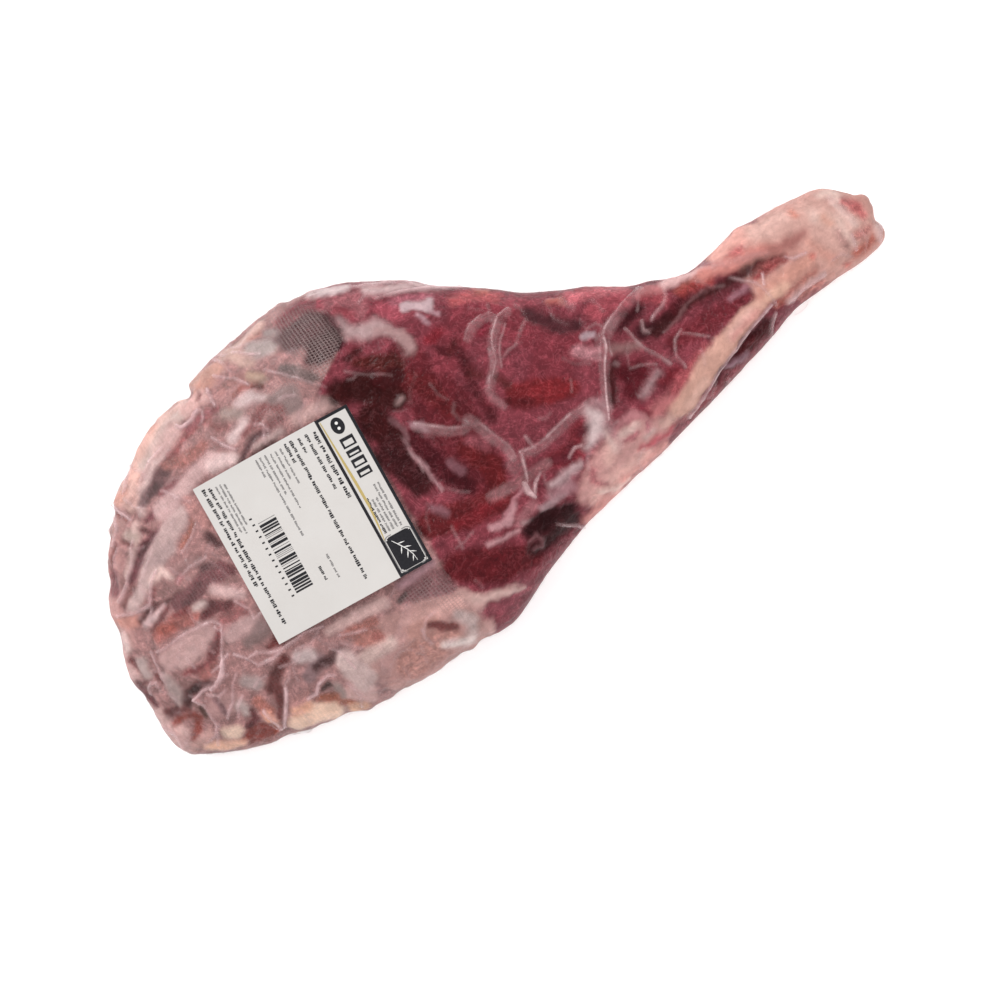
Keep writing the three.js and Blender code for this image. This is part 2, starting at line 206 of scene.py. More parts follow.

# What shows on the upper side. Each stroke is a tissue, its shade, and points of (x, y, half width) in mm.
# The dark shades of the hollow strokes are painted shade in the recesses, and the marked strokes are painted
# shadow.
UPPER = [
    # the rump's cut face and the muscle under the gauze
    ("rind", "b98f8a", (-110, -90, 22), (-80, -95, 22)),
    # beige rind all over the hock, and red muscle beside the label
    ("web", "c48e84", (186, -24, 22), (214, -24, 30), (242, -30, 28)),
    ("meat", "5c1a22", (-20, 42, 12), (-16, 10, 16), (-20, -36, 12)),
    # rump, left rim
    ("rind", "c4a3a0", (-246, -5, 4), (-249, -30, 4), (-247, -60, 4), (-243, -68, 4)),
    ("meat", "7d4448", (-247, -22, 2), (-248, -30, 3), (-246, -37, 2)),
    ("meat", "8a5050", (-243, -9, 2), (-241, -17, 1.5)),
    ("meat", "7a4040", (-246, -24, 1), (-240, -24, 1.5)),
    ("meat", "7a4040", (-235, -23, 1.2), (-234, -29, 1.2)),
    ("rind", "b7a29f", (-238, -13, 3.5), (-239, -21, 3)),
    ("rind", "b09a97", (-230, -28, 3), (-231, -42, 4)),
    # rump, upper rim
    ("rind", "c09490", (-237, 2, 5), (-234, 24, 5), (-224, 39, 5), (-212, 50, 4)),
    ("meat", "a06468", (-229, 29, 3.5), (-223, 38, 3)),
    ("rind", "d2b8b4", (-240, -2, 2.5), (-238, 5, 2)),
    ("rind", "b08c88", (-209, 58, 4), (-202, 60, 4)),
    ("meat", "94605c", (-202, 64, 1.5), (-200, 58, 1)),
    ("fat", "c9a49c", (-195, 69, 5), (-187, 71, 6), (-184, 66, 5)),
    ("rind", "c8968a", (-197, 70, 3), (-191, 71, 2)),
    ("fat", "cfaaa2", (-194, 62, 2.5), (-188, 60, 3)),
    ("fat", "d0a89e", (-180, 76, 5), (-170, 84, 5), (-160, 89, 4), (-148, 91, 3)),
    ("rind", "c4aca6", (-174, 77, 3), (-162, 82, 4), (-150, 88, 4), (-136, 90, 4)),
    ("rind", "c8968a", (-164, 92, 1.5), (-157, 92, 1.5)),
    ("fat", "d4b2aa", (-152, 94, 2), (-135, 95, 2)),
    # long streaks that follow the rim
    ("rind", "c9b0ac", (-189, 56, 2), (-181, 65, 2.5), (-170, 73, 2.5), (-157, 77, 2)),
    ("meat", "7a5658", (-185, 60, 3), (-175, 63, 4.5), (-165, 68, 4), (-156, 73, 2.5)),
    ("meat", "644648", (-180, 61, 1.5), (-174, 63, 2.5)),
    ("meat", "9c5a5a", (-156, 73, 4), (-150, 78, 4), (-140, 79, 3), (-128, 80, 3)),
    ("meat", "8a5658", (-148, 87, 1.5), (-147, 83, 1.5)),
    ("meat", "ab726c", (-162, 70, 3), (-150, 66, 3.5), (-138, 67, 2.5)),
    ("meat", "9c5a5e", (-173, 58, 2), (-164, 59, 2.5)),
    ("meat", "8a4c54", (-189, 51, 1.5), (-183, 51, 2)),
    ("rind", "c2a49f", (-216, 32, 2.2), (-207, 39, 2.5), (-200, 46, 3), (-196, 52, 2.5)),
    ("meat", "7e444c", (-217, 28, 2), (-207, 34, 3), (-198, 39, 3.4), (-190, 41, 2.5), (-184, 43, 1)),
    ("meat", "66343a", (-203, 37, 1.4), (-196, 40, 2)),
    ("meat", "966260", (-228, 19, 1.5), (-217, 25, 2)),
    ("meat", "744044", (-194, 48, 1.2), (-190, 44, 1.6)),
    ("meat", "84504e", (-208, 49, 1.2), (-204, 44, 1.4)),
    ("meat", "a06a68", (-223, 42, 2.2), (-212, 49, 2)),
    ("rind", "bba49c", (-203, 50, 3), (-199, 46, 2.5)),
    ("rind", "bfa5a2", (-223, 16, 4), (-212, 21, 4), (-203, 27, 5), (-190, 33, 6), (-172, 42, 6)),
    ("rind", "b59c9a", (-196, 28, 4), (-186, 30, 4)),
    ("rind", "c4a4a2", (-178, 50, 5), (-165, 52, 5), (-150, 56, 4), (-138, 58, 4)),
    ("meat", "ac6e62", (-180, 27, 1), (-174, 30, 1.8), (-168, 34, 1.2), (-166, 38, 0.6)),
    ("meat", "b98884", (-164, 46, 3), (-160, 30, 4)),
    # painted shadow beside the label's edge
    ("hollow", "6a4244", (-164, 24, 2), (-162, 17, 2.6)),
    ("meat", "7c484c", (-168, 6, 3), (-164, 1, 3)),
    ("fat", "d2b6b0", (-206, 21, 1.6), (-197, 22, 2.5), (-194, 17, 2)),
    ("meat", "9a6060", (-207, 17, 1.2), (-213, 11, 1.6)),
    ("meat", "b06a6c", (-193, 12, 1), (-189, 14, 1.8)),
    ("rind", "c28c82", (-236, 13, 3), (-228, 9, 4)),
    ("rind", "a88280", (-190, 18, 3), (-178, 17, 3)),
    ("hollow", "6a3032", (-225, 6, 1.2), (-218, 7, 2), (-211, 8, 1.8), (-204, 7, 1.6), (-196, 7, 1)),
    ("rind", "c9adad", (-223, 3, 1.8), (-215, 4, 2.2), (-208, 6, 1)),
    ("meat", "7a3c3e", (-207, 4, 1.4), (-214, 0, 1.4), (-221, -2, 1)),
    ("meat", "885458", (-201, 3, 4), (-190, 2, 5), (-180, 5, 5), (-170, 3, 5)),
    ("meat", "744448", (-197, -1, 2.5), (-190, 2, 2), (-183, 5, 2)),
    ("meat", "724a4e", (-177, 11, 2), (-171, 10, 1.5)),
    # rump, middle
    ("meat", "ac6c66", (-220, -6, 4), (-210, -6, 5), (-197, -7, 5)),
    ("meat", "a45a50", (-217, -4, 2.5), (-210, -7, 2)),
    ("meat", "9a4c4c", (-206, -2, 1.5), (-198, -3, 2)),
    ("rind", "bd9a97", (-222, -21, 6), (-210, -22, 8), (-198, -22, 7)),
    ("rind", "c1a09d", (-217, -27, 3), (-208, -25, 4)),
    ("meat", "8a4648", (-220, -32, 1), (-212, -35, 2.2), (-204, -35, 2.2), (-196, -29, 3), (-189, -23, 1.6)),
    ("meat", "a56a66", (-211, -39, 3), (-202, -38, 3)),
    ("hollow", "642a2c", (-230, -47, 2.4), (-225, -43, 3.2), (-218, -42, 3), (-210, -45, 1.4)),
    ("clot", "461a1c", (-224, -42.5, 1), (-219, -42, 1.8)),
    ("meat", "7a3a3e", (-191, -12, 2.6), (-184, -11, 3.6), (-176, -15, 3)),
    ("meat", "6a3236", (-187, -4, 1.3), (-184, -9, 2)),
    ("rind", "c6b0ac", (-193, -5, 2), (-188, -6, 2.2)),
    ("rind", "c6a6a4", (-178, -3, 3), (-172, -8, 3.5), (-167, -14, 3)),
    ("meat", "9c6262", (-184, -19, 3), (-172, -21, 4)),
    ("rind", "b49492", (-185, -29, 4), (-176, -29, 5), (-168, -30, 3)),
    ("rind", "8c7270", (-178, -38, 3.5), (-168, -36, 5)),
    ("hollow", "7a3230", (-170, -46, 2), (-165, -46, 3)),
    # rump, lower left
    ("meat", "7c4242", (-243, -44, 2), (-238, -47, 3.4), (-232, -51, 2.4)),
    ("meat", "9c4a40", (-241, -52, 2), (-232, -52, 2), (-228, -57, 2), (-232, -62, 2), (-237, -65, 1.6)),
    ("rind", "d0aca8", (-243, -57, 4), (-239, -60, 3)),
    ("clot", "6a463e", (-224, -53, 1.6), (-224, -58, 1.8)),
    ("rind", "b08a88", (-216, -58, 5), (-206, -60, 6)),
    ("rind", "a89492", (-192, -55, 4), (-188, -59, 4)),
    ("rind", "b7a4a1", (-203, -64, 3), (-202, -69, 2.5)),
    ("meat", "8a666a", (-213, -54, 1), (-212, -62, 1.2)),
    ("hollow", "74302e", (-184, -67, 2.6), (-177, -62, 3.6), (-168, -57, 3)),
    ("meat", "7c3432", (-180, -68, 3), (-183, -75, 2)),
    ("meat", "84403e", (-184, -77, 1.4), (-190, -83, 1.2)),
    ("meat", "b8786e", (-194, -68, 3.6), (-192, -76, 3.6)),
    ("rind", "dca690", (-194, -77, 2.4), (-194, -85, 2.4)),
    ("meat", "b04e3a", (-201, -88, 1.6), (-197, -87, 3)),
    ("meat", "9c4a42", (-214, -83, 3), (-206, -82, 5), (-201, -84, 5)),
    ("meat", "7a3c40", (-207, -77, 2), (-201, -76, 2.6), (-200, -70, 1.4)),
    ("fat", "ceb3a4", (-219, -72, 3.4), (-214, -75, 4)),
    ("fat", "deb29e", (-233, -73, 2.4), (-224, -78, 3.4), (-215, -83, 2)),
    ("rind", "c29a94", (-240, -69, 2.6), (-228, -68, 3)),
    # rump, lower edge
    ("fat", "dcbcaa", (-183, -90, 5), (-171, -91, 6), (-161, -96, 5)),
    ("rind", "cc9c88", (-180, -84, 2.4), (-172, -85, 3)),
    ("meat", "ba8a86", (-176, -80, 3), (-168, -80, 2)),
    ("meat", "b06a56", (-165, -86, 1.6), (-157, -90, 2.6), (-151, -98, 2.4)),
    ("rind", "dcae96", (-153, -101, 2.4), (-146, -103, 2)),
    ("rind", "917476", (-162, -72, 4), (-152, -68, 5)),
    ("hollow", "64383a", (-155, -71, 2.4), (-149, -71, 2.8), (-141, -70, 2.2), (-138, -69, 1.8)),
    ("clot", "5c3e3c", (-160, -83, 1.2), (-156, -82.5, 1.8)),
    ("rind", "a08c88", (-152, -85, 2.6), (-152, -91, 2.4)),
    ("rind", "b9a6a5", (-160, -60, 4), (-154, -62, 4)),
    ("rind", "c3a09c", (-147, -93, 4), (-140, -98, 5)),
    ("rind", "cbb5b1", (-139, -76, 6), (-137, -90, 7)),
    ("rind", "c0a09c", (-138, -57, 3), (-120, -59, 4), (-104, -61, 4)),
    ("meat", "a66c64", (-132, -64, 2), (-124, -65, 3), (-114, -67, 2.4)),
    ("meat", "ae766e", (-126, -71, 4), (-119, -74, 5)),
    ("meat", "a0625c", (-118, -74, 2), (-115, -77, 1.4)),
    ("rind", "c2a8a2", (-130, -81, 4), (-114, -82, 4)),
    ("meat", "b88880", (-113, -98, 7), (-96, -96, 9), (-84, -98, 6)),
    ("rind", "b98c84", (-98, -84, 6), (-88, -84, 5)),
    ("meat", "84403e", (-90, -86, 1.6), (-85, -89, 3), (-79, -94, 2.6)),
    ("rind", "c89e98", (-100, -76, 2.6), (-85, -80, 3), (-70, -84, 3), (-60, -89, 3)),
    ("rind", "bca6a3", (-74, -90, 3), (-69, -97, 3.4), (-74, -103, 3)),
    ("rind", "d2c2be", (-89, -100, 2), (-76, -105, 2.6)),
    ("meat", "8a5a5e", (-92, -65, 3.6), (-80, -66, 7), (-70, -70, 8)),
    ("clot", "5e4646", (-96, -65, 1.4), (-92, -64, 1.6)),
    ("rind", "a88288", (-90, -58, 3), (-70, -58, 3)),
    # top of the rump, over the label
    ("web", "cca9a5", (-162, 79, 4), (-148, 84, 5)),
    ("fat", "bf9488", (-128, 102, 3), (-118, 100, 4), (-108, 99, 4)),
    ("rind", "b98a7e", (-124, 96, 3), (-116, 95, 3)),
    ("fat", "c4a49c", (-102, 103, 3.4), (-88, 103, 3.4), (-76, 106, 3)),
    ("meat", "b8867e", (-85, 102, 1), (-78, 102.5, 1)),
    ("rind", "aba09c", (-86, 95, 5), (-78, 92, 5)),
    ("rind", "866c6e", (-70, 93, 4), (-67, 84, 4)),
    ("rind", "9c8c8a", (-74, 99, 3), (-69, 97, 3)),
    ("rind", "bfa096", (-97, 98, 4), (-91, 92, 4)),
    ("rind", "c8a29d", (-136, 90, 3.6), (-124, 90, 4)),
    ("meat", "9c6c6a", (-127, 89, 1.2), (-124, 91, 1.2)),
    ("meat", "a46468", (-140, 80, 2), (-132, 81, 1.8), (-121, 80, 1.4)),
    ("meat", "a37672", (-113, 87, 2.4), (-104, 88, 3), (-97, 85, 2.6)),
    ("meat", "9c605a", (-108, 80, 1.6), (-101, 82, 1.6), (-95, 78, 2)),
    ("clot", "70342e", (-97, 78, 0.9), (-93.5, 76, 1.7)),
    ("rind", "b09484", (-95, 84, 2.6), (-90, 79, 2.6)),
    ("fat", "c0aaa8", (-109, 74, 3), (-101, 74, 3.4), (-96, 69, 2.6)),
    ("rind", "a48c86", (-118, 74, 4), (-112, 70, 3)),
    ("meat", "9c6664", (-129, 76, 1.6), (-126, 70, 1.8), (-120, 66.5, 1)),
    ("rind", "d0bab8", (-122, 61, 3), (-112, 64, 3)),
    ("rind", "cdb4b2", (-140, 54, 4), (-128, 52, 4)),
    ("meat", "985c5c", (-115, 59, 2), (-105, 62, 3), (-97, 65, 2.4), (-92, 61, 2.4), (-87, 57, 2.4)),
    ("meat", "906060", (-107, 55, 2), (-94, 55, 3)),
    ("rind", "98807e", (-92, 66, 3), (-83, 63, 6), (-84, 56, 5)),
    ("hollow", "684448", (-125, 47, 1.4), (-118, 51.5, 1.8), (-111, 54, 1.8), (-103, 51.5, 1.2)),
    ("rind", "c0a5a2", (-114, 49, 1.8), (-98, 49, 2)),
    ("hollow", "765052", (-118, 46, 1), (-104, 45, 1)),
    ("rind", "b79692", (-86, 49, 4), (-76, 48, 4), (-67, 47, 4)),
    # a painted shadow, greyish
    ("meat", "806c6a", (-77, 76, 3.4), (-71, 70, 4), (-67, 63, 3)),
    # the wet patch of gauze and the meat that shows through it
    ("meat", "8a3c46", (-62, 99, 6), (-50, 99, 7), (-42, 96, 4)),
    ("meat", "5a1f2a", (-64, 89, 7), (-54, 87, 10), (-45, 84, 7)),
    ("meat", "461820", (-63, 73, 3), (-55, 74, 8), (-46, 75, 7), (-40, 78, 3)),
    # the thigh, beside the label, where its darkest strokes are painted shade in the hollow by the label's
    # edge
    ("hollow", "340a0b", (-60, 50, 6), (-45, 42, 10), (-36, 30, 9)),
    ("meat", "370b0d", (-52, 26, 9), (-50, 10, 8)),
    ("meat", "3e1114", (-46, 61, 2), (-38, 63, 3)),
    ("meat", "481412", (-42, 56, 3.6), (-32, 51, 5), (-23, 44, 5)),
    ("meat", "581419", (-24, 33, 6), (-16, 24, 6), (-14, 6, 5)),
    ("meat", "3a0f13", (-54, 4, 9), (-50, -18, 7)),
    ("meat", "440e16", (-38, 6, 5), (-37, -12, 6), (-30, -34, 5)),
    ("meat", "5e161b", (-58, -40, 7), (-40, -46, 8), (-18, -50, 7)),
    ("meat", "6c161e", (-46, -48, 3), (-30, -51, 4), (-16, -48, 2)),
    ("meat", "5a141b", (-58, -68, 9), (-40, -80, 10), (-22, -86, 7)),
    ("meat", "84404a", (-60, -99, 4), (-46, -101, 4), (-34, -98, 3)),
    ("fat", "c6a19b", (-62, -88, 1.6), (-52, -92.5, 2.8), (-42, -95, 2), (-36, -98, 1)),
    ("meat", "5c1216", (-18, -16, 5), (-12, -32, 7), (-14, -42, 5)),
    ("silverskin", "7e4e56", (-52, -33, 2), (-48, -40, 2)),
    ("silverskin", "784a52", (-29, -18, 2.4), (-27, -25, 3)),
    ("silverskin", "a67c80", (-45, 2, 0.5), (-43, -10, 1.2), (-43, -27, 0.8)),
    ("silverskin", "6e484c", (-44, 20, 1), (-41, 12, 1.6), (-44, 4, 1.4)),
    ("fat", "9a7a78", (-36, 26, 1.2), (-33, 26, 1.2)),
    ("silverskin", "8c6068", (-36, 12, 1.4), (-32, 9, 2), (-31, 4, 1)),
    # fat and red patches along the ham's edge
    ("rind", "cbb6b6", (-42, 105, 3), (-32, 100, 3), (-24, 97, 2.4)),
    ("web", "c2a2a2", (-16, 89, 3), (-5, 83, 3), (8, 77, 3), (22, 68, 2)),
    ("meat", "8e5056", (-38, 93, 4), (-30, 88, 6), (-22, 90, 4), (-25, 81, 4)),
    ("meat", "7c343c", (-36, 89, 2), (-31, 84, 3)),
    ("web", "a08686", (-38, 84, 1), (-36, 75, 2)),
    ("web", "a98a8a", (-36, 74, 3), (-29, 70, 5), (-21, 67, 4), (-17, 61, 2.4)),
    ("fat", "a47f7e", (-24, 66, 1.6), (-19, 63, 2.4), (-15, 58, 2.8), (-13, 52, 3), (-13, 46, 2.6)),
    ("meat", "94404c", (-15, 75, 3.6), (-11, 72, 4), (-9, 66, 3)),
    ("meat", "9c5460", (-6, 74, 3), (4, 70, 3), (12, 66, 2.4)),
    ("silverskin", "c0a2a6", (-3, 68, 2.6), (3, 65, 3), (8, 61, 3.4), (11, 64, 2)),
    ("silverskin", "b08890", (0, 60, 1), (3, 54, 0.8)),
    ("silverskin", "b08890", (8, 58, 1), (11, 55, 0.8)),
    ("meat", "7c1c28", (-2, 46, 3), (6, 45, 4), (14, 42, 3)),
    ("meat", "a2484c", (22, 57, 3), (33, 54, 4), (42, 45, 4)),
    ("rind", "a8665c", (36, 54, 1.4), (40, 51, 1.2)),
    ("meat", "8f404a", (45, 38, 4), (58, 30, 3)),
    # the thigh's middle
    ("meat", "762b35", (0, 30, 8), (20, 45, 8), (40, 30, 10), (60, 5, 12), (40, -10, 12)),
    ("meat", "741a20", (22, -6, 6), (32, -13, 8), (48, -20, 6)),
    ("meat", "4e161d", (0, 38, 3), (8, 30, 3), (6, 20, 3.4), (3, 4, 3), (3, -10, 3)),
    ("hollow", "4e1a1c", (7, 18, 2), (11, 13, 2)),
    ("hollow", "561e20", (18, 9, 2.4), (20, 0, 2.6)),
    ("meat", "4c1418", (3, 33, 1.6), (10, 36, 2)),
    ("meat", "541218", (16, -8, 3), (24, -14, 4)),
    ("meat", "803e46", (-14, -14, 3), (-9, -19, 4)),
    ("clot", "3a0a0e", (-38, 42, 4), (-28, 39, 5)),
    ("meat", "7a2030", (24, 33, 2), (31, 36, 2)),
    # painted shade in the dark hollow at the thigh's edge
    ("hollow", "4a2026", (54, 29, 3.4), (58, 20, 4.6), (64, 12, 5), (71, 8, 4)),
    ("rind", "a85c54", (67, 27, 1.4), (73, 23, 1.6)),
    ("meat", "b05860", (78, 22, 3), (92, 17, 4), (104, 9, 3.6)),
    ("meat", "98404a", (84, 8, 5), (96, 6, 5), (104, 4, 4)),
    ("silverskin", "a58a90", (71, -1, 2), (76, -3, 2.4)),
    ("meat", "a06a70", (64, -6, 4), (70, -12, 3.6)),
    ("meat", "6e2029", (18, -48, 5), (30, -52, 6), (40, -43, 6)),
    ("meat", "7c464a", (-22, -47, 1.8), (-5, -48, 2), (14, -48, 1.8)),
    # fat lumps and the dark pocket below the thigh, whose darkness is painted shade
    ("silverskin", "b68388", (-31, -60, 2), (-23, -62, 2.6), (-14, -57, 1.6)),
    ("silverskin", "b08084", (-38, -67, 1.4), (-29, -69.5, 1.8), (-20, -70, 1.2)),
    ("silverskin", "a86f76", (-22, -58, 0.8), (-5, -53, 1.2)),
    ("meat", "9a5e64", (-18, -66, 3), (-4, -64, 3)),
    ("silverskin", "b08a8c", (-16, -68, 1.4), (-10, -71, 1.2)),
    ("hollow", "2a070b", (-14, -75, 5), (0, -75, 6.5), (9, -78, 6)),
    ("hollow", "300a0e", (-18, -85, 4), (-4, -84, 5), (10, -83, 4)),
    ("silverskin", "7c5054", (-18, -79, 0.7), (-13, -78.5, 0.7), (-11.5, -82, 0.7), (-14, -85.5, 0.7),
     (-18, -84.5, 0.7)),
    ("meat", "a88084", (24, -60, 3), (14, -63, 3)),
    ("fat", "b8999b", (14, -60, 1.6), (10, -60, 1.6)),
    ("silverskin", "a48286", (-2, -68, 2), (12, -67, 2)),
    # knee
    ("web", "c48f8b", (22, -74, 5), (34, -70, 8), (48, -66, 10), (62, -64, 9), (76, -64, 7)),
    ("web", "c79c92", (82, -66, 3), (96, -64, 4), (108, -61, 3)),
    ("web", "b96c6e", (80, -57, 3), (94, -56, 3.6), (108, -54, 3.6)),
    ("web", "c88880", (88, -61, 1.6), (100, -60, 1.6)),
    ("web", "dca8a0", (26, -80, 3), (40, -77, 3.6), (58, -75, 3.6), (66, -75, 2)),
    ("web", "d4a49c", (44, -66, 3), (50, -60, 3)),
    ("web", "d0b0aa", (52, -52, 1), (51, -62, 1.6)),
    ("meat", "b56a6e", (33, -66, 2), (31, -72, 1.6), (36, -77, 0.8)),
    ("rind", "b27478", (55, -55, 1), (60, -52, 1.6), (68, -52, 2), (73, -56, 2)),
    ("rind", "c8a49e", (58, -58, 2.4), (66, -58, 2.6)),
    ("meat", "a04656", (58, -61, 0.6), (62, -62, 0.9), (66, -61, 0.6)),
    ("meat", "74182a", (74, -52, 0.8), (77, -56, 1.3), (76, -58.5, 0.5)),
    ("meat", "a55062", (74, -61, 0.8), (71.5, -65, 1.1)),
    ("rind", "c4a29c", (68, -66, 1.4), (74, -66, 1.4)),
    ("rind", "b24c56", (62, -69.5, 1), (70, -71, 1.7), (78, -71.5, 1.4), (84, -70, 0.8)),
    ("web", "de9a92", (46, -79, 1.6), (60, -79, 2), (76, -76, 1.6)),
    ("web", "da8f86", (16, -87, 1.6), (34, -84, 2), (48, -80, 1.6)),
    ("fat", "e4c4bb", (31, -78, 0.5), (38, -81, 0.8), (48, -81, 0.5)),
    ("web", "bfa6a6", (50, -36, 1.6), (52, -42, 4), (48, -48, 4.6), (42, -51, 2.6), (38, -53, 1.6)),
    ("web", "a88084", (57, -36, 2), (61, -41, 1.4)),
    ("rind", "b39496", (13, -60, 0.8), (20, -58, 1.8), (30, -58, 1.6)),
    ("web", "9c6e74", (6, -64, 2), (18, -66, 3)),
    ("rind", "8c4650", (22, -63, 1), (25, -64, 0.8)),
    ("hollow", "4c1620", (40, -44, 2), (44, -45, 1.6)),
    ("hollow", "5a1c26", (18, -48, 2), (26, -52, 2.4), (30, -48, 1.6)),
    # shank: dark chamber, hollow and muscle; the darkness of the chamber and hollows is painted shade
    ("hollow", "500f19", (78, -30, 5), (84, -34, 7), (74, -42, 4)),
    ("hollow", "3c1012", (77, -22, 2), (70, -30, 2.6), (65, -40, 2.4)),
    ("silverskin", "856466", (76, -23, 1), (78, -25, 1)),
    ("web", "86605f", (80, -16, 2.4), (92, -21, 2.6)),
    ("hollow", "360b12", (90, -8, 2), (99, -5, 3.4), (108, -5, 2.4)),
    ("hollow", "341016", (100, -16, 4), (109, -19, 4)),
    ("silverskin", "7c5658", (103, -11, 0.6), (101, -16, 0.8), (105, -18, 0.6)),
    ("web", "987a7c", (80, -46, 1.6), (87, -43.5, 2), (94, -41, 1.4)),
    ("meat", "701c26", (94, -47, 2), (104, -46, 3)),
    ("meat", "681f28", (112, -32, 5), (128, -33, 6), (150, -33, 5), (163, -33, 2)),
    ("meat", "8e3a42", (112, -2, 3), (119, -7, 4)),
    ("hollow", "3e1416", (106, -21, 3), (122, -19, 3.4), (142, -19, 3), (162, -21, 2.6), (176, -22, 2.6),
     (188, -24, 2)),
    ("clot", "340a0e", (114, -17, 2), (122, -17, 2)),
    ("meat", "4a1018", (122, -15, 2.6), (132, -13, 2)),
    ("meat", "8e3432", (130, -11, 2.2), (138, -11.5, 3.2), (146, -13, 3)),
    ("meat", "662730", (128, -23, 2), (160, -25, 1.6)),
    ("silverskin", "785052", (111, -23, 0.5), (120, -22.5, 0.7), (128, -18, 0.6), (142, -17, 0.5)),
    ("silverskin", "92606a", (152, -29, 1.8), (162, -28, 2)),
    ("meat", "883c3c", (170, -26, 2.6), (180, -26, 3), (189, -27, 1.6)),
    # shank: hamstring tendon and its edges
    ("rind", "b06a6c", (112, 2, 2), (122, -2, 3)),
    ("fat", "d6a8a6", (126, -2, 2.6), (136, -5, 2.6), (147, -7, 2.6)),
    ("rind", "c57d74", (146, -9, 3.4), (160, -12, 4), (175, -15, 4), (188, -19, 3)),
    ("meat", "9c4c40", (128, -8.5, 0.7), (142, -8.5, 0.7)),
    ("fat", "dea196", (158, -5, 4), (176, -3, 5), (184, -4, 4)),
    ("meat", "c46a68", (167, -9, 2), (171, -9, 2.4)),
    # shank: bare shin bone
    ("meat", "a04a50", (96, -53, 3), (112, -48, 3), (124, -43, 1.4)),
    ("bone", "cb9a8b", (92, -64, 4), (106, -59, 6.4), (120, -53, 6.6), (136, -48, 6), (150, -44, 5),
     (164, -40.5, 4.4)),
    ("bone", "d0a294", (100, -64, 3), (114, -58, 3)),
    ("web", "dba99f", (140, -46, 2.4), (156, -42.5, 2.4)),
    ("rind", "cc8e86", (140, -48, 1.6), (160, -44, 1.6)),
    # painted shade along the bone's lower edge
    ("hollow", "340f12", (118, -63, 1.6), (132, -58, 2.6), (148, -54, 2.8), (162, -52, 2.2)),
    ("meat", "46090f", (130, -60, 2), (152, -56, 2.6), (160, -55, 2.6)),
    ("silverskin", "86606a", (129, -59, 1.8), (142, -61, 2)),
    ("meat", "7a2c34", (100, -70, 1.8), (124, -66.5, 2), (146, -63, 1)),
    ("web", "c68c7e", (168, -35, 4), (182, -37, 5), (200, -36, 4)),
    ("bone", "d0a08e", (170, -40, 2.4), (181, -40, 3)),
    ("meat", "b06054", (172, -46, 1.4), (188, -44.5, 1), (200, -43, 0.8)),
    ("rind", "d8b2ae", (178, -48, 1.4), (204, -46, 1.4)),
    ("meat", "b9746c", (186, -50, 2), (200, -49, 2)),
    # hock
    ("web", "cb9c92", (196, -12, 9), (214, -20, 14), (216, -36, 12), (232, -30, 12)),
    ("web", "d3a69c", (184, -6, 5), (200, -8, 5)),
    ("web", "c48c80", (206, -28, 3), (212, -42, 3)),
    ("web", "dab4aa", (216, -16, 3), (226, -28, 4), (226, -40, 3)),
    ("web", "e0beb4", (226, -8, 2), (234, -12, 3), (238, -18, 1.5)),
    ("web", "e0bfb6", (230, -16, 1.6), (232, -24, 1.6), (234, -33, 1.6)),
    ("meat", "c06866", (237, -18, 2.4), (240, -24, 3.4), (241, -31, 2.2)),
    ("web", "cf9686", (220, -20, 2), (222, -25, 2)),
    ("web", "9c645e", (186, -19, 2.4), (196, -22, 4.4), (206, -22, 2.4)),
    ("meat", "b58680", (223, -33, 1.8), (222, -41, 2)),
    ("meat", "ba6658", (224, -47.5, 2), (238, -46, 2)),
    ("meat", "b67670", (231, -40, 2.4), (239, -39, 2.4)),
    ("meat", "b45c54", (218, -50, 1.6)),
    ("meat", "c07666", (207, -7, 1.2), (208, -10, 1.2)),
    ("meat", "c4685e", (203, -35, 1.6)),
    ("fat", "dab6b0", (242, -46, 1.8), (244, -41, 2)),
]

# The side it lies on: more silverskin and fat, pressed flat, with the hip's cut face and the same bare shin.
UNDER = [
    ("web", "c48e84", (176, -24, 22), (214, -24, 30), (242, -30, 28)),
    ("web", "b8685f", (118, 2, 8), (150, -6, 9), (172, -4, 9)),
    ("web", "c27a76", (18, -90, 8), (50, -82, 9), (84, -73, 8)),
    ("rind", "b08078", (-60, 112, 8), (-20, 96, 8), (10, 84, 7)),
    ("meat", "8a4448", (-220, -10, 12), (-190, 10, 16), (-160, -30, 14)),
    ("web", "b98e88", (-225, 20, 8), (-205, 45, 9), (-180, 65, 9), (-150, 82, 8)),
    ("web", "bc9690", (-225, -60, 7), (-190, -80, 8), (-150, -92, 8), (-110, -98, 7)),
    ("silverskin", "b99a98", (-140, 60, 5), (-90, 45, 7), (-40, 50, 4), (0, 35, 2)),
    ("silverskin", "b08c8c", (-150, -20, 4), (-100, -35, 6), (-50, -30, 6), (10, -40, 3)),
    ("meat", "64242c", (-60, 10, 14), (-20, -5, 12), (30, -10, 9)),
    ("meat", "5c2028", (-30, -60, 10), (10, -62, 8)),
    ("fat", "ceaaa6", (-60, 85, 6), (-20, 78, 5), (20, 62, 4)),
    ("fat", "caa6a0", (-40, -85, 5), (0, -80, 5), (40, -72, 5), (80, -66, 5)),
    ("silverskin", "a8787c", (60, 20, 2), (40, -5, 2.4), (50, -40, 2)),
    # painted shade in the groove by the hamstring tendon
    ("hollow", "4a1c20", (105, -18, 3), (150, -20, 3), (182, -24, 2)),
    ("meat", "742a34", (110, -34, 7), (160, -34, 4)),
    ("bone", "cb9a8b", (96, -62, 5), (130, -54, 6), (164, -44, 5)),
    ("rind", "cc8e84", (130, -6, 4), (160, -11, 5), (190, -18, 5)),
    ("rind", "cd9d92", (190, -12, 10), (214, -22, 16), (232, -28, 14)),
    ("fat", "e0c0b6", (222, -14, 4), (236, -22, 4)),
    ("meat", "bc6e62", (206, -44, 3), (232, -44, 3)),
]


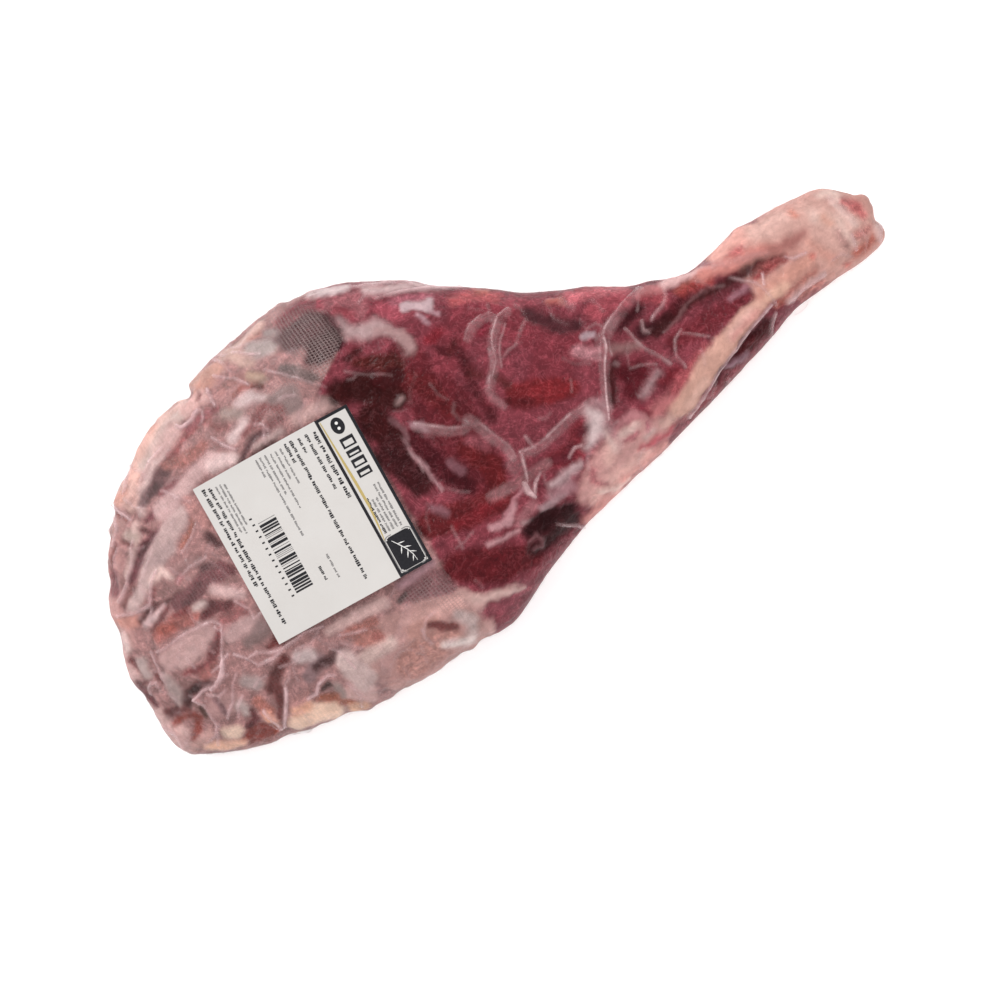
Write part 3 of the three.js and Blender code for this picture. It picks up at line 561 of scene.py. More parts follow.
def worked(spots, facing):
    """The colour, height in mm and muscle grain that the strokes give to each spot of the leg."""
    drift = np.column_stack([lumps(spots, 9, 3), lumps(spots, 9, 4)]) * 1.2
    drift += np.column_stack([lumps(spots, 3.2, 5), lumps(spots, 3.2, 6)]) * 0.95
    place = spots[:, :2] + drift * (1 - 0.35 * np.clip(behind(spots, facing) / 20, 0, 1))[:, None]
    rump = np.clip((behind(spots, facing) + drift[:, 0]) / 4 + 0.5, 0, 1)[:, None]
    sides = []
    for strokes in (UPPER, UNDER):
        colour = np.array(linear("76303a")[:3]) * (1 - rump) + np.array(linear("a87e7c")[:3]) * rump
        height, grain = np.zeros(len(spots)), np.ones(len(spots))
        for tissue, shade, *path in strokes:
            soft, rise, grained = TISSUES[tissue]
            soft *= (0.62 if tissue in ("meat", "hollow", "clot") else 0.95) if path[0][0] < -66 else 1.0
            share = cover(place, path, soft)
            colour += share[:, None] * (np.array(linear(shade)[:3]) - colour)
            height += share * (rise - height)
            grain += share * (grained - grain)
        sides.append(np.column_stack([colour, height, grain]))
    up = np.clip(facing[:, 2] / 0.5 + 0.55 + 0.25 * lumps(spots, 14, 7), 0, 1)[:, None]
    both = sides[1] + (sides[0] - sides[1]) * up * up * (3 - 2 * up)
    # under the wet gauze dark and light lie further apart, and the reds are stronger
    bright = both[:, :3].mean(1) / 0.30
    both[:, :3] *= (1 + rump[:, 0] * (0.85 * bright**0.52 - 1))[:, None]
    grey = both[:, :3].mean(1, keepdims=True)
    both[:, :3] = np.clip(grey + (both[:, :3] - grey) * (1 + 0.16 * rump), 0.002, 1)
    crumple = 0.5 * ridges(spots, 13, 8) + 0.35 * ridges(spots, 7, 9) + 0.25 * ridges(spots, 4, 10)
    wrapped_in = 0.3 + 0.7 * rump[:, 0]
    both[:, 3] += 0.8 * lumps(spots, 18, 11) + 0.9 * wrapped_in * crumple + 0.15 * lumps(spots, 3, 12)
    # painted light and shade: the crumpling's crests are painted lighter and its troughs darker
    both[:, :3] *= (1 + 0.20 * wrapped_in * crumple)[:, None]
    return both[:, :3], both[:, 3], both[:, 4]


# Where the outline is notched or knobbed: mm outwards, and a spot of (x, y, half width).
KNOBS = [
    (-2.6, (192, -1, 12)), (-3.2, (212, -3, 12)), (-1.6, (-98, 106, 9)), (-1.5, (-168, -97, 7)),
    (-1.5, (-80, -108, 6)), (-1.6, (138, 1, 9)), (-1.6, (-85, 108, 12)), (-4.0, (-134, 100, 4)),
    (1.6, (-128, 104, 3)), (-1.4, (-182, 83, 9)), (-2.0, (-207, 65, 4)), (-1.3, (-242, 4, 9)),
    (-3.0, (-70, -110, 5)), (-2.5, (-158, -104, 8)), (-1.6, (-193, -95, 6)), (-1.6, (-238, -77, 6)),
    (-3.8, (250, -38, 4.6)), (1.6, (248, -23, 3)), (1.2, (-147, -105, 3)), (1.2, (-60, 110, 3)),
    (-1.2, (60, 36, 10)), (1.4, (88, 22, 8)), (-1.2, (110, 8, 6)), (1.2, (-52, -110, 8)),
    (1.0, (180, 3, 5)), (-1.2, (-228, 36, 6)), (-1.0, (20, 70, 8)),
]


def shaped(spots, facing):
    """The rounded surface with the leg's notches and knobs along its outline."""
    away = facing.copy()
    away[:, 2] = 0
    for out, spot in KNOBS:
        spots = spots + away * (cover(spots, [spot], spot[2]) * out)[:, None]
    return spots


def ridges(spots, size, seed):
    """Crumpling: long sharp crests, 1, between rounded hollows, -1, about size mm apart."""
    stretched = spots @ np.array([[0.80, 0.30, 0.0], [-0.42, 0.98, 0.0], [0.0, 0.0, 1.0]])
    return 1 - 2.6 * np.abs(lumps(stretched, size, seed)) ** 0.8


leg_mesh = grown("leg", LEG_STEP)
base, outward = points_of(leg_mesh)
base = shaped(base, outward)
flesh, relief, grain = worked(base, outward)
relief = evened(leg_mesh, relief, 2)
skin = base + outward * relief[:, None]
skin[:, 2] = np.maximum(skin[:, 2], FLOOR_GAP)
leg_mesh.vertices.foreach_set("co", (skin / 1000).ravel())
mark(leg_mesh, "flesh", flesh)
mark(leg_mesh, "grain", grain)

# Raw game meat, chilled and wet: a soft gloss over a mottled, finely grained red, paler on fat and bone.
MOTTLE, VEIN, WISP, GRIT = 9.09, 4.167, 10.53, 1.786  # mm across each pattern in the meat
raw_meat = bpy.data.materials.new("raw_game_meat")
raw_meat.use_nodes = True
tree = raw_meat.node_tree
tree.nodes.clear()
where = node(tree, "ShaderNodeTexCoord").outputs["Object"]
shade = node(tree, "ShaderNodeAttribute", attribute_name="flesh").outputs["Color"]
grained = node(tree, "ShaderNodeAttribute", attribute_name="grain").outputs["Fac"]
mottle = node(
    tree, "ShaderNodeTexNoise",
    [("Vector", where), ("Scale", 1000 / MOTTLE), ("Detail", 4.0), ("Roughness", 0.6)],
)
veins = node(
    tree, "ShaderNodeTexNoise",
    [("Vector", where), ("Scale", 1000 / VEIN), ("Detail", 5.0), ("Roughness", 0.55), ("Distortion", 0.5)],
)
light = node(
    tree, "ShaderNodeMapRange",
    [
        ("Value", mottle.outputs["Fac"]), ("From Min", 0.3), ("From Max", 0.7), ("To Min", 0.64),
        ("To Max", 1.08),
    ],
)
vein = node(
    tree, "ShaderNodeMapRange",
    [
        ("Value", veins.outputs["Fac"]), ("From Min", 0.3), ("From Max", 0.7), ("To Min", 0.74),
        ("To Max", 1.26),
    ],
)
both = node(
    tree, "ShaderNodeMath", [(0, light.outputs["Result"]), (1, vein.outputs["Result"])], operation="MULTIPLY"
)
# wisps: thin curled threads where a swirling noise crosses its middle value
swirl = node(
    tree, "ShaderNodeTexNoise",
    [("Vector", where), ("Scale", 1000 / WISP), ("Detail", 4.0), ("Roughness", 0.65), ("Distortion", 1.1)],
)
off = node(tree, "ShaderNodeMath", [(0, swirl.outputs["Fac"]), (1, 0.5)], operation="SUBTRACT")
near = node(tree, "ShaderNodeMath", [(0, off.outputs[0])], operation="ABSOLUTE")
wisp = node(
    tree, "ShaderNodeMapRange",
    [("Value", near.outputs[0]), ("From Min", 0.0), ("From Max", 0.03), ("To Min", 0.8), ("To Max", 0.0)],
)
grit = node(
    tree, "ShaderNodeTexNoise",
    [("Vector", where), ("Scale", 1000 / GRIT), ("Detail", 3.0), ("Distortion", 0.6)],
)
speck = node(
    tree, "ShaderNodeMapRange",
    [
        ("Value", grit.outputs["Fac"]), ("From Min", 0.55), ("From Max", 0.72), ("To Min", 0.0),
        ("To Max", 0.8),
    ],
)
pale = node(
    tree, "ShaderNodeMath", [(0, wisp.outputs[0]), (1, speck.outputs[0])], operation="ADD", use_clamp=True
)
flecked = node(tree, "ShaderNodeMath", [(0, pale.outputs[0]), (1, grained)], operation="MULTIPLY")
lifted = node(
    tree, "ShaderNodeMath", [(0, flecked.outputs[0]), (1, 0.55), (2, 1.0)], operation="MULTIPLY_ADD"
)
uneven = node(tree, "ShaderNodeMath", [(0, both.outputs[0]), (1, lifted.outputs[0])], operation="MULTIPLY")
# fat, rind and bone are more even than muscle
calm = node(tree, "ShaderNodeMapRange", [("Value", grained), ("To Min", 0.5), ("To Max", 1.0)])
value = node(tree, "ShaderNodeMix", [(0, calm.outputs[0]), (2, 1.0), (3, uneven.outputs[0])])
toned = node(
    tree, "ShaderNodeHueSaturation", [("Saturation", 0.97), ("Value", value.outputs[0]), ("Color", shade)]
).outputs["Color"]
share = node(tree, "ShaderNodeMath", [(0, flecked.outputs[0]), (1, 0.05)], operation="MULTIPLY")
dyed = node(
    tree, "ShaderNodeMix", [(0, share.outputs[0]), (6, toned), (7, linear("b08a90"))], data_type="RGBA"
)
rise = node(
    tree, "ShaderNodeBump", [("Height", grit.outputs["Fac"]), ("Distance", 0.0006), ("Strength", 0.5)]
)
raised = node(
    tree, "ShaderNodeBump",
    [
        ("Height", veins.outputs["Fac"]), ("Distance", 0.0016), ("Strength", 0.6),
        ("Normal", rise.outputs["Normal"]),
    ],
)
surface = node(
    tree, "ShaderNodeBsdfPrincipled",
    [
        ("Base Color", dyed.outputs[2]), ("Roughness", 0.45), ("Specular IOR Level", 0.04),
        ("Coat Weight", 0.18), ("Coat Roughness", 0.08), ("Normal", raised.outputs["Normal"]),
        ("Coat Normal", raised.outputs["Normal"]),
    ],
)
node(tree, "ShaderNodeOutputMaterial", [("Surface", surface.outputs[0])])

leg = piece("boar_leg", leg_mesh, raw_meat)
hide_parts("leg")


# The bone guard: knitted cotton gauze drawn over the rump so that cut bone can't pierce the film.
# One layer, wet through in patches where the meat darkens it, with a cut and slightly frayed free edge.

GAUZE_STEP = 0.0016
GAUZE_GAP = 0.35  # mm above the meat
THREAD = 2.0  # mm between threads, stretched open; each thread is drawn coarser than cotton yarn so it shows

# How plainly the threads show, from 0 to 1, in the patches where dark meat lies behind them.
PLAIN = [
    (0.38, (-64, 100, 7), (-58, 88, 14), (-54, 76, 11), (-60, 66, 6)),
    (0.26, (-94, -66, 3), (-78, -70, 8), (-70, -82, 5)),
    (0.18, (-92, 60, 8), (-76, 70, 8)),
    (0.14, (-210, 5, 8), (-175, 5, 8)),
    (0.12, (-184, 60, 8), (-150, 74, 6)),
]

# How dry the gauze is, from 0, soaked and clear, to 1, white: a share and points of (x, y, half width) in mm.
DRY = [
    (0.02, (-64, 100, 7), (-60, 88, 13), (-54, 76, 11), (-60, 66, 8)),
    (0.02, (-90, -66, 5), (-76, -70, 8), (-70, -82, 4)),
    (0.03, (-184, 60, 5), (-170, 67, 5)),
    (0.03, (-206, 34, 4), (-190, 41, 4)),
    (0.03, (-200, 2, 6), (-170, 4, 6)),
    (0.16, (-88, 94, 6), (-79, 93, 5)),
    (0.08, (-86, 62, 7), (-78, 60, 6)),
    (0.12, (-205, 27, 6), (-170, 42, 8)),
    (0.10, (-220, -22, 7), (-200, -22, 7)),
    (0.10, (-184, -30, 6), (-168, -34, 6)),
    (0.16, (-138, -76, 7), (-136, -94, 8), (-124, -84, 5)),
]

gauze_mesh = grown("gauze", GAUZE_STEP)
spots, facing = points_of(gauze_mesh)
spots = shaped(spots, facing)
_, relief, _ = worked(spots, facing)
relief = evened(gauze_mesh, relief, 4, relief) + GAUZE_GAP
cloth = spots + facing * relief[:, None]
cloth[:, 2] = np.maximum(cloth[:, 2], 0.6)
dry = np.full(len(spots), 0.03) + 0.03 * np.abs(lumps(spots, 22, 31))
for share, *path in DRY:
    dry += cover(spots, path, 5.0) * (share - dry) * (facing[:, 2] > -0.1)
plain = np.full(len(spots), 0.07)
for share, *path in PLAIN:
    plain += cover(spots, path, 4.0) * (share - plain) * (facing[:, 2] > -0.1)
up_side = np.tanh(spots[:, 1] / 40) * (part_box("leg")[1].z * 1000 - spots[:, 2])
across, along = 1.5 * lumps(spots, 30, 32), 1.5 * lumps(spots, 30, 33)
threads = np.column_stack([spots[:, 0] + across, spots[:, 1] + up_side + along, dry])
gauze_mesh.vertices.foreach_set("co", (cloth / 1000).ravel())
mark(gauze_mesh, "threads", threads)
mark(gauze_mesh, "dry", dry)
mark(gauze_mesh, "plain", plain)


def cut(mesh, level):
    """Keeps the part of a mesh where level, a number for each point, is above nought, with a clean edge."""
    work = bmesh.new()
    work.from_mesh(mesh)
    place = work.verts.layers.float_vector.new("place")
    for v, height in zip(work.verts, level):
        v[place] = v.co
        v.co.z = height
    work.normal_update()
    everything = work.verts[:] + work.edges[:] + work.faces[:]
    bmesh.ops.bisect_plane(
        work, geom=everything, plane_co=(0, 0, 0), plane_no=(0, 0, 1), clear_inner=True, dist=1e-6
    )
    for v in work.verts:
        v.co = v[place]
    work.verts.layers.float_vector.remove(place)
    bmesh.ops.dissolve_degenerate(work, edges=work.edges, dist=1e-5)
    work.to_mesh(mesh)
    work.free()
    mesh.update()


cut(gauze_mesh, behind(spots, facing) + 0.7 * lumps(spots, 2.0, 34))

# Open-knit cotton gauze, damp: fine crossing threads, matt and pinkish grey, clear between them where soaked.
wet_gauze = bpy.data.materials.new("damp_cotton_gauze")
wet_gauze.use_nodes = True
tree = wet_gauze.node_tree
tree.nodes.clear()
run = node(tree, "ShaderNodeAttribute", attribute_name="threads").outputs["Vector"]
axes = node(tree, "ShaderNodeSeparateXYZ", [(0, run)])
lines = []
for axis in ("X", "Y"):
    phase = node(
        tree, "ShaderNodeMath", [(0, axes.outputs[axis]), (1, 2 * math.pi / THREAD)], operation="MULTIPLY"
    )
    wave = node(tree, "ShaderNodeMath", [(0, phase.outputs[0])], operation="SINE")
    thread = node(
        tree, "ShaderNodeMapRange", [("Value", wave.outputs[0]), ("From Min", -0.2), ("From Max", 1.0)]
    )
    lines.append(thread.outputs[0])
crossed = node(tree, "ShaderNodeMath", [(0, lines[0]), (1, lines[1])], operation="MAXIMUM")
dryness = node(tree, "ShaderNodeAttribute", attribute_name="dry").outputs["Fac"]
weight = node(tree, "ShaderNodeAttribute", attribute_name="plain")
drawn = node(
    tree, "ShaderNodeMath", [(0, crossed.outputs[0]), (1, weight.outputs["Fac"])], operation="MULTIPLY"
)
shown = node(tree, "ShaderNodeMath", [(0, drawn.outputs[0]), (1, dryness)], operation="ADD", use_clamp=True)
rise = node(tree, "ShaderNodeBump", [("Height", crossed.outputs[0]), ("Distance", 0.0003), ("Strength", 0.4)])
surface = node(
    tree, "ShaderNodeBsdfPrincipled",
    [
        ("Base Color", linear("b39a98")), ("Roughness", 0.85), ("Specular IOR Level", 0.2),
        ("Alpha", shown.outputs[0]), ("Normal", rise.outputs["Normal"]),
    ],
)
node(tree, "ShaderNodeOutputMaterial", [("Surface", surface.outputs[0])])

gauze = piece("bone_guard_gauze_wrap", gauze_mesh, wet_gauze)
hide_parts("bone_guard_gauze")


# The pouch: two sheets of clear film drawn tight by the vacuum and welded at the leg's widest line.
# It clings to the bumps, bridges the hollows, and stands up in folds, whose pale bands are clouded film with
# painted highlight.

FILM_STEP = {"top": 0.00088, "bottom": 0.0018}
FILM_GAP = 0.75  # mm above the meat
FILM_FLOOR = 0.15  # mm above the floor where the pack rests

# The folds on the upper side: how white each shows, its rise in mm, and its points of (x, y, half width) in
# mm.
# A fold's white is part clouded film and part painted highlight.
FOLDS = [
    # rump, lower left
    (0.50, 0.9, (-229, -12, 0.8), (-230, -22, 0.9), (-231, -30, 0.7)),
    (0.45, 0.9, (-226, -13, 0.8), (-214, -14, 0.9), (-204, -14, 0.8), (-195, -15, 0.9), (-189, -17, 0.9)),
    (0.45, 0.9, (-189, -17, 0.9), (-186, -21, 0.9), (-189, -27, 0.9), (-196, -36, 0.8)),
    (0.80, 1.5, (-211, -48, 1.0), (-204, -46, 1.8), (-200, -43, 1.8), (-196, -38, 1.2)),
    (0.50, 1.2, (-223, -47, 0.9), (-216, -45.5, 1.1), (-207, -48, 1), (-198, -45, 0.9)),
    (0.50, 1.2, (-223, -47, 0.9), (-221, -55, 1), (-221, -65, 1), (-227, -75, 0.8)),
    (0.60, 1.2, (-189, -39, 0.7), (-184, -45, 1), (-181, -50, 0.8)),
    (0.55, 1.0, (-184, -45, 0.7), (-177, -45, 1), (-171, -49, 1), (-160, -51, 1), (-150, -50, 1),
     (-139, -53, 0.8)),
    (0.50, 0.8, (-172, -14, 0.6), (-167, -22, 0.9), (-168, -28, 0.8), (-163, -28, 0.8)),
    (0.75, 1.3, (-176, -70, 0.7), (-184, -81, 1), (-190, -88, 0.7)),
    (0.50, 1.0, (-170, -82, 0.9), (-164, -82, 1), (-160, -78, 1), (-152, -76, 1), (-149, -79, 0.7)),
    (0.34, 1.3, (-132, -99, 1.6), (-120, -90, 2.2), (-110, -84, 2.2), (-100, -76, 2.2), (-95, -70, 1.4)),
    (0.30, 0.8, (-136, -66, 0.8), (-128, -75, 1)),
    (0.30, 0.3, (-138, -75, 5), (-137, -92, 6)),
    (0.24, 0.2, (-222, -21, 6), (-200, -22, 7)),
    (0.22, 0.2, (-185, -29, 5), (-168, -32, 4)),
    (0.45, 0.8, (-247, -50, 0.8), (-244, -58, 1), (-245, -67, 0.8)),
    (0.40, 0.8, (-241, -27, 0.8), (-238, -25, 0.9), (-236, -31, 0.8)),
    (0.50, 1.0, (-243, -31, 0.8), (-242, -28, 0.9), (-238, -26, 0.9), (-236, -27, 0.8), (-236, -31, 0.7)),
    (0.40, 0.8, (-215, -49, 0.8), (-209, -53, 0.9), (-204, -52, 0.8)),
    (0.40, 0.8, (-213, -66, 0.8), (-205, -60, 0.9), (-199, -52, 0.9), (-194, -48, 0.7)),
    (0.36, 0.8, (-207, -69, 0.7), (-203, -63, 0.9), (-198, -60, 0.7)),
    (0.60, 1.0, (-194, -74, 0.8), (-193, -80, 1), (-192, -88, 0.9)),
    (0.55, 1.0, (-181, -51, 0.8), (-172, -52, 1), (-160, -50, 1), (-148, -50, 0.8)),
    (0.45, 0.8, (-205, -40, 0.8), (-198, -39, 1), (-192, -37, 0.8)),
    (0.40, 0.8, (-190, -20, 0.7), (-187, -26, 0.8)),
    (0.40, 0.8, (-220, -66, 0.8), (-226, -70, 0.8), (-233, -72, 0.7)),
    (0.45, 0.8, (-143, -66, 0.8), (-138, -72, 0.9), (-137, -82, 0.8)),
    (0.45, 0.8, (-134, -62, 0.8), (-126, -66, 0.9), (-120, -68, 0.8)),
    (0.40, 0.8, (-146, -86, 0.8), (-143, -95, 0.9), (-147, -102, 0.8)),
    # rump, upper left
    (0.50, 1.0, (-192, 66, 0.8), (-190, 60, 0.9), (-186, 57, 0.8)),
    (0.40, 0.9, (-191, 70, 0.8), (-184, 76, 0.9), (-178, 80, 0.7)),
    (0.45, 0.9, (-178, 71, 0.8), (-168, 76, 0.9), (-158, 79, 0.8)),
    (0.45, 0.9, (-224, 12, 0.8), (-213, 12, 0.9), (-206, 19, 0.9), (-199, 23, 0.8)),
    (0.40, 0.8, (-192, 12, 0.7), (-182, 15, 0.9), (-171, 14, 0.8)),
    (0.40, 0.8, (-228, 22, 0.8), (-218, 29, 1), (-208, 38, 1), (-201, 47, 0.8)),
    (0.40, 0.8, (-166, 33, 0.7), (-172, 28, 0.8), (-181, 24, 0.7)),
    (0.36, 0.8, (-214, 50, 0.8), (-206, 56, 0.9), (-203, 63, 0.8)),
    (0.50, 1.0, (-132, 68, 0.8), (-128, 60, 0.9), (-124, 54, 0.8)),
    (0.40, 0.8, (-112, 96, 0.8), (-104, 88, 0.9), (-99, 80, 0.8)),
    (0.45, 0.8, (-96, 100, 0.8), (-90, 94, 0.9), (-84, 90, 0.8)),
    (0.22, 0.2, (-205, 27, 5), (-172, 42, 6)),
    (0.26, 0.2, (-178, 50, 5), (-138, 58, 4)),
    (0.60, 1.2, (-200, 68, 0.8), (-198, 60, 1), (-197, 56, 0.8)),
    (0.50, 1.0, (-145, 85, 0.8), (-143, 82, 1), (-136, 82, 1), (-130, 84, 0.8)),
    (0.50, 0.9, (-233, 16, 0.8), (-225, 12, 1), (-214, 11, 0.9)),
    (0.32, 0.8, (-189, 56, 1.6), (-181, 65, 2), (-170, 73, 2), (-157, 77, 1.4)),
    (0.40, 1.0, (-107, 104, 0.8), (-104, 98, 1), (-103, 92, 0.8)),
    (0.50, 0.8, (-119, 92, 0.7), (-120, 82, 0.8)),
    (0.30, 0.8, (-86, 82, 0.6), (-80, 76, 0.8), (-74, 68, 0.8), (-68, 60, 0.8), (-64, 55, 0.6)),
    (0.24, 0.3, (-88, 96, 5), (-80, 92, 5)),
    (0.40, 0.4, (-108, 74, 3), (-98, 72, 3)),
    (0.34, 0.3, (-122, 61, 3), (-111, 64, 3)),
    (0.30, 0.8, (-213, 20, 0.8), (-203, 29, 1), (-195, 34, 0.8)),
    # along the ham's upper edge
    (0.50, 0.8, (-22, 95, 0.7), (-10, 88, 0.9), (5, 82, 0.9), (8, 77, 0.7)),
    (0.45, 0.8, (-14, 80, 0.7), (0, 77, 0.9), (15, 70, 0.9), (30, 60, 0.7)),
    (0.34, 0.5, (-40, 106, 2), (-26, 98, 2)),
    (0.14, 0.3, (-50, 57, 0.6), (-40, 48, 0.6), (-30, 40, 0.6)),
    # over the thigh
    (0.46, 1.2, (-34, 9, 1.6), (-28, 3, 1.5), (-22, -3, 1.5), (-15, -7, 1.5), (-9, -6, 2)),
    (0.42, 0.6, (-9, -4, 2.6), (-7, -8, 2.2)),
    (0.50, 1.2, (-7, -9, 1.7), (-4, -18, 1.5), (0, -28, 1.5), (0, -35, 1.5)),
    (0.24, 0.6, (-2, -38, 3), (-3, -50, 2.6)),
    (0.70, 1.4, (-3, -50, 1.4), (-3, -55, 1.8), (-2, -59, 1)),
    (0.50, 1.0, (5, -36, 0.8), (2, -43, 0.9), (-1, -50, 0.8)),
    (0.60, 1.1, (-1, -58, 0.8), (3, -53, 0.9), (8, -50, 0.7)),
    (0.36, 1.1, (5, -36, 1), (11, -38, 1.7), (18, -38, 1.5), (28, -36, 1.5), (40, -34, 1.6), (53, -34, 1.5)),
    (0.32, 0.8, (13, -37, 1), (12, -29, 1)),
    (0.26, 0.5, (-22, -47, 2), (-5, -48, 2.2), (14, -48, 1.8)),
    (0.44, 1.4, (43, 34, 1.3), (36, 33, 1.7), (28, 27, 1.7), (24, 22, 1.6), (20, 14, 1.7), (14, 8, 1.7),
     (10, 4, 1.5)),
    (0.34, 1.2, (10, 4, 1.4), (9, -2, 1.2), (11, -8, 1)),
    (0.44, 1.2, (17, 34, 1.2), (22, 38, 1.4), (29, 39, 1.4), (34, 37, 1.3), (36, 33, 1)),
    (0.26, 0.6, (36, 16, 0.9), (42, 20, 1.1), (50, 25, 0.9)),
    (0.30, 0.6, (72, 22, 1), (75, 16, 1.2)),
    (0.50, 0.8, (0, -80, 0.6), (5, -84, 0.7), (12, -88, 0.6)),
    (0.34, 0.8, (26, -52, 0.8), (32, -49, 1), (36, -50, 0.8)),
    # the bright rims of the broad folds, their brightness painted highlight
    (0.50, 0.5, (44, 36, 0.5), (37, 35, 0.6), (29, 29.5, 0.6), (25, 24, 0.6), (21.5, 15, 0.6), (15, 9, 0.5)),
    (0.40, 0.5, (15, 35, 0.5), (21, 40.2, 0.6), (29, 41.2, 0.6), (35, 38.6, 0.5)),
    (0.36, 0.4, (38, 29, 0.5), (31, 24, 0.5), (26, 18, 0.5), (22, 10, 0.5)),
    (0.46, 0.5, (5, -34.4, 0.5), (11, -36, 0.6), (18, -36.2, 0.6), (28, -34.2, 0.6), (40, -32.3, 0.5)),
    (0.50, 0.5, (-33, 11, 0.5), (-27, 4.8, 0.6), (-21, -1.2, 0.6), (-14, -5.2, 0.5)),
    (0.44, 0.5, (-5.2, -9, 0.5), (-2.2, -18, 0.6), (1.8, -28, 0.6), (1.8, -35, 0.5)),
    (0.55, 0.6, (112, 4, 0.5), (100, 2.9, 0.6), (90, -0.8, 0.6), (82, -4, 0.6), (73, -11, 0.6),
     (70, -18, 0.5)),
    (0.45, 0.5, (81, -9, 0.8), (78, -13, 0.9), (77, -18, 0.6)),
    # the long fold from the hollow to the knee
    (0.56, 1.8, (112, 2, 1.5), (100, 1, 1.7), (90, -3, 1.9), (83, -6, 2.4), (78, -8, 3), (75, -13, 2.6)),
    (0.46, 1.8, (75, -13, 2.4), (72, -19, 1.8), (67, -27, 1.4), (62, -37, 1.1), (57, -46, 1),
     (54, -52, 1), (53, -61, 0.9)),
    (0.85, 2.0, (78, -8, 1.1), (75, -14, 1), (70, -22, 0.7), (63, -35, 0.6), (56, -47, 0.6)),
    # shank
    (0.32, 1.0, (93, -10, 0.7), (94, -20, 1), (97, -30, 1.1), (102, -40, 1)),
    (0.24, 0.8, (103, -11, 0.6), (101, -16, 0.7), (103, -19, 0.6)),
    (0.32, 1.0, (107, -38, 0.8), (112, -30, 0.9), (118, -28, 0.7)),
    (0.34, 0.9, (118, -30, 0.6), (124, -35, 0.7), (129, -40, 0.7)),
    (0.32, 1.0, (107, -38, 0.6), (108, -47, 0.6)),
    (0.28, 0.9, (105, -5, 0.6), (112, 1, 0.6)),
    (0.34, 0.8, (125, -3, 0.8), (122, -7, 0.9), (116, -11, 0.9), (108, -14, 0.7)),
    (0.64, 1.1, (95, -70, 0.7), (110, -65, 0.8), (120, -60, 0.8), (130, -56, 0.8), (145, -51, 0.8),
     (168, -45, 0.6)),
    (0.34, 1.1, (158, -19, 0.7), (163, -25, 0.8), (168, -30, 0.8), (170, -36, 0.9), (170, -46, 0.8)),
    (0.50, 0.9, (175, -28, 0.8), (172, -34, 0.8)),
    (0.50, 0.8, (190, -27, 0.7), (193, -30, 0.9), (200, -31, 0.8)),
    (0.44, 1.0, (178, -48, 0.8), (190, -46, 1), (204, -46, 0.8)),
    (0.40, 0.8, (160, -58, 0.8), (164, -54, 1), (168, -50, 0.8)),
    (0.36, 0.6, (150, -6, 1), (165, -13, 1.2), (182, -19, 1)),
    (0.44, 0.9, (228, -37, 0.8), (226, -45, 0.9)),
    (0.44, 0.8, (241, -48, 0.8), (245, -42, 0.8)),
    (0.40, 0.8, (229, -14, 1.2), (232, -24, 1.2), (233, -32, 1)),
]

# Small creases all over, short and faint, as a film always has where it shrinks on to uneven meat.
# Their white is part clouded film and part painted highlight.
chance = np.random.default_rng(11)
CREASES = {"top": [], "bottom": []}
for side, many in (("top", 260), ("bottom", 170)):
    for k in range(many):
        x, y = chance.uniform(-245, 240 if k < many * 0.55 else -70), chance.uniform(-110, 108)
        turn, long = chance.uniform(0, math.pi), chance.uniform(3, 9)
        bend = chance.uniform(-0.5, 0.5)
        wide = chance.uniform(0.6, 1.1)
        ends = [
            (x + long * math.cos(turn + end * bend) * end, y + long * math.sin(turn + end * bend) * end, wide)
            for end in (-1, 0, 1)
        ]
        milky_and_highlight = chance.uniform(0.05, 0.22) * (1.0 if side == "top" and k < many * 0.55 else 1.6)
        CREASES[side].append((milky_and_highlight, chance.uniform(0.2, 0.6), *ends))

rim_points = np.array([v.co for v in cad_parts["film_bottom"].data.vertices]) * 1000
rim_x = np.arange(-250, 251, 10)
rim_z = np.array([rim_points[np.abs(rim_points[:, 0] - x) < 9][:, 2].max() for x in rim_x])


def wrapped(side):
    """One sheet of the pouch shrunk on to the leg, with its white, part painted highlight, kept at its
    points.
    """
    mesh = grown("film_" + side, FILM_STEP[side])
    spots, facing = points_of(mesh)
    spots = shaped(spots, facing)
    _, under, _ = worked(spots, facing)
    height = evened(mesh, under, 10, under) + FILM_GAP
    milky_and_highlight = 0.008 * np.clip(behind(spots, facing) / 6, 0, 1)
    drift = np.column_stack([lumps(spots, 11, 42), lumps(spots, 11, 43)]) * 1.0
    place = spots[:, :2] + drift
    uneven = 0.84 + 0.42 * lumps(spots, 8, 44) + 0.26 * lumps(spots, 2.6, 45)
    # each fold and crease whitens the film: part clouding, part painted highlight
    for haze_and_highlight, rise, *path in (FOLDS if side == "top" else []) + CREASES[side]:
        thin = haze_and_highlight > 0.6 or max(point[2] for point in path) < 1.15
        share = cover(place, path, 0.95 if thin else 2.4)
        height += share * rise * 1.4
        body = haze_and_highlight * (1.05 * share if thin else 0.32 * share + 1.1 * share * (1 - share)) * uneven
        milky_and_highlight = np.maximum(milky_and_highlight, body)
    film = spots + facing * height[:, None]
    film[:, 2] = np.maximum(film[:, 2], FILM_FLOOR)
    mesh.vertices.foreach_set("co", (film / 1000).ravel())
    mark(mesh, "milky_and_highlight", milky_and_highlight)
    level = film[:, 2] - np.interp(film[:, 0], rim_x, rim_z)
    cut(mesh, level if side == "top" else -level)
    return mesh
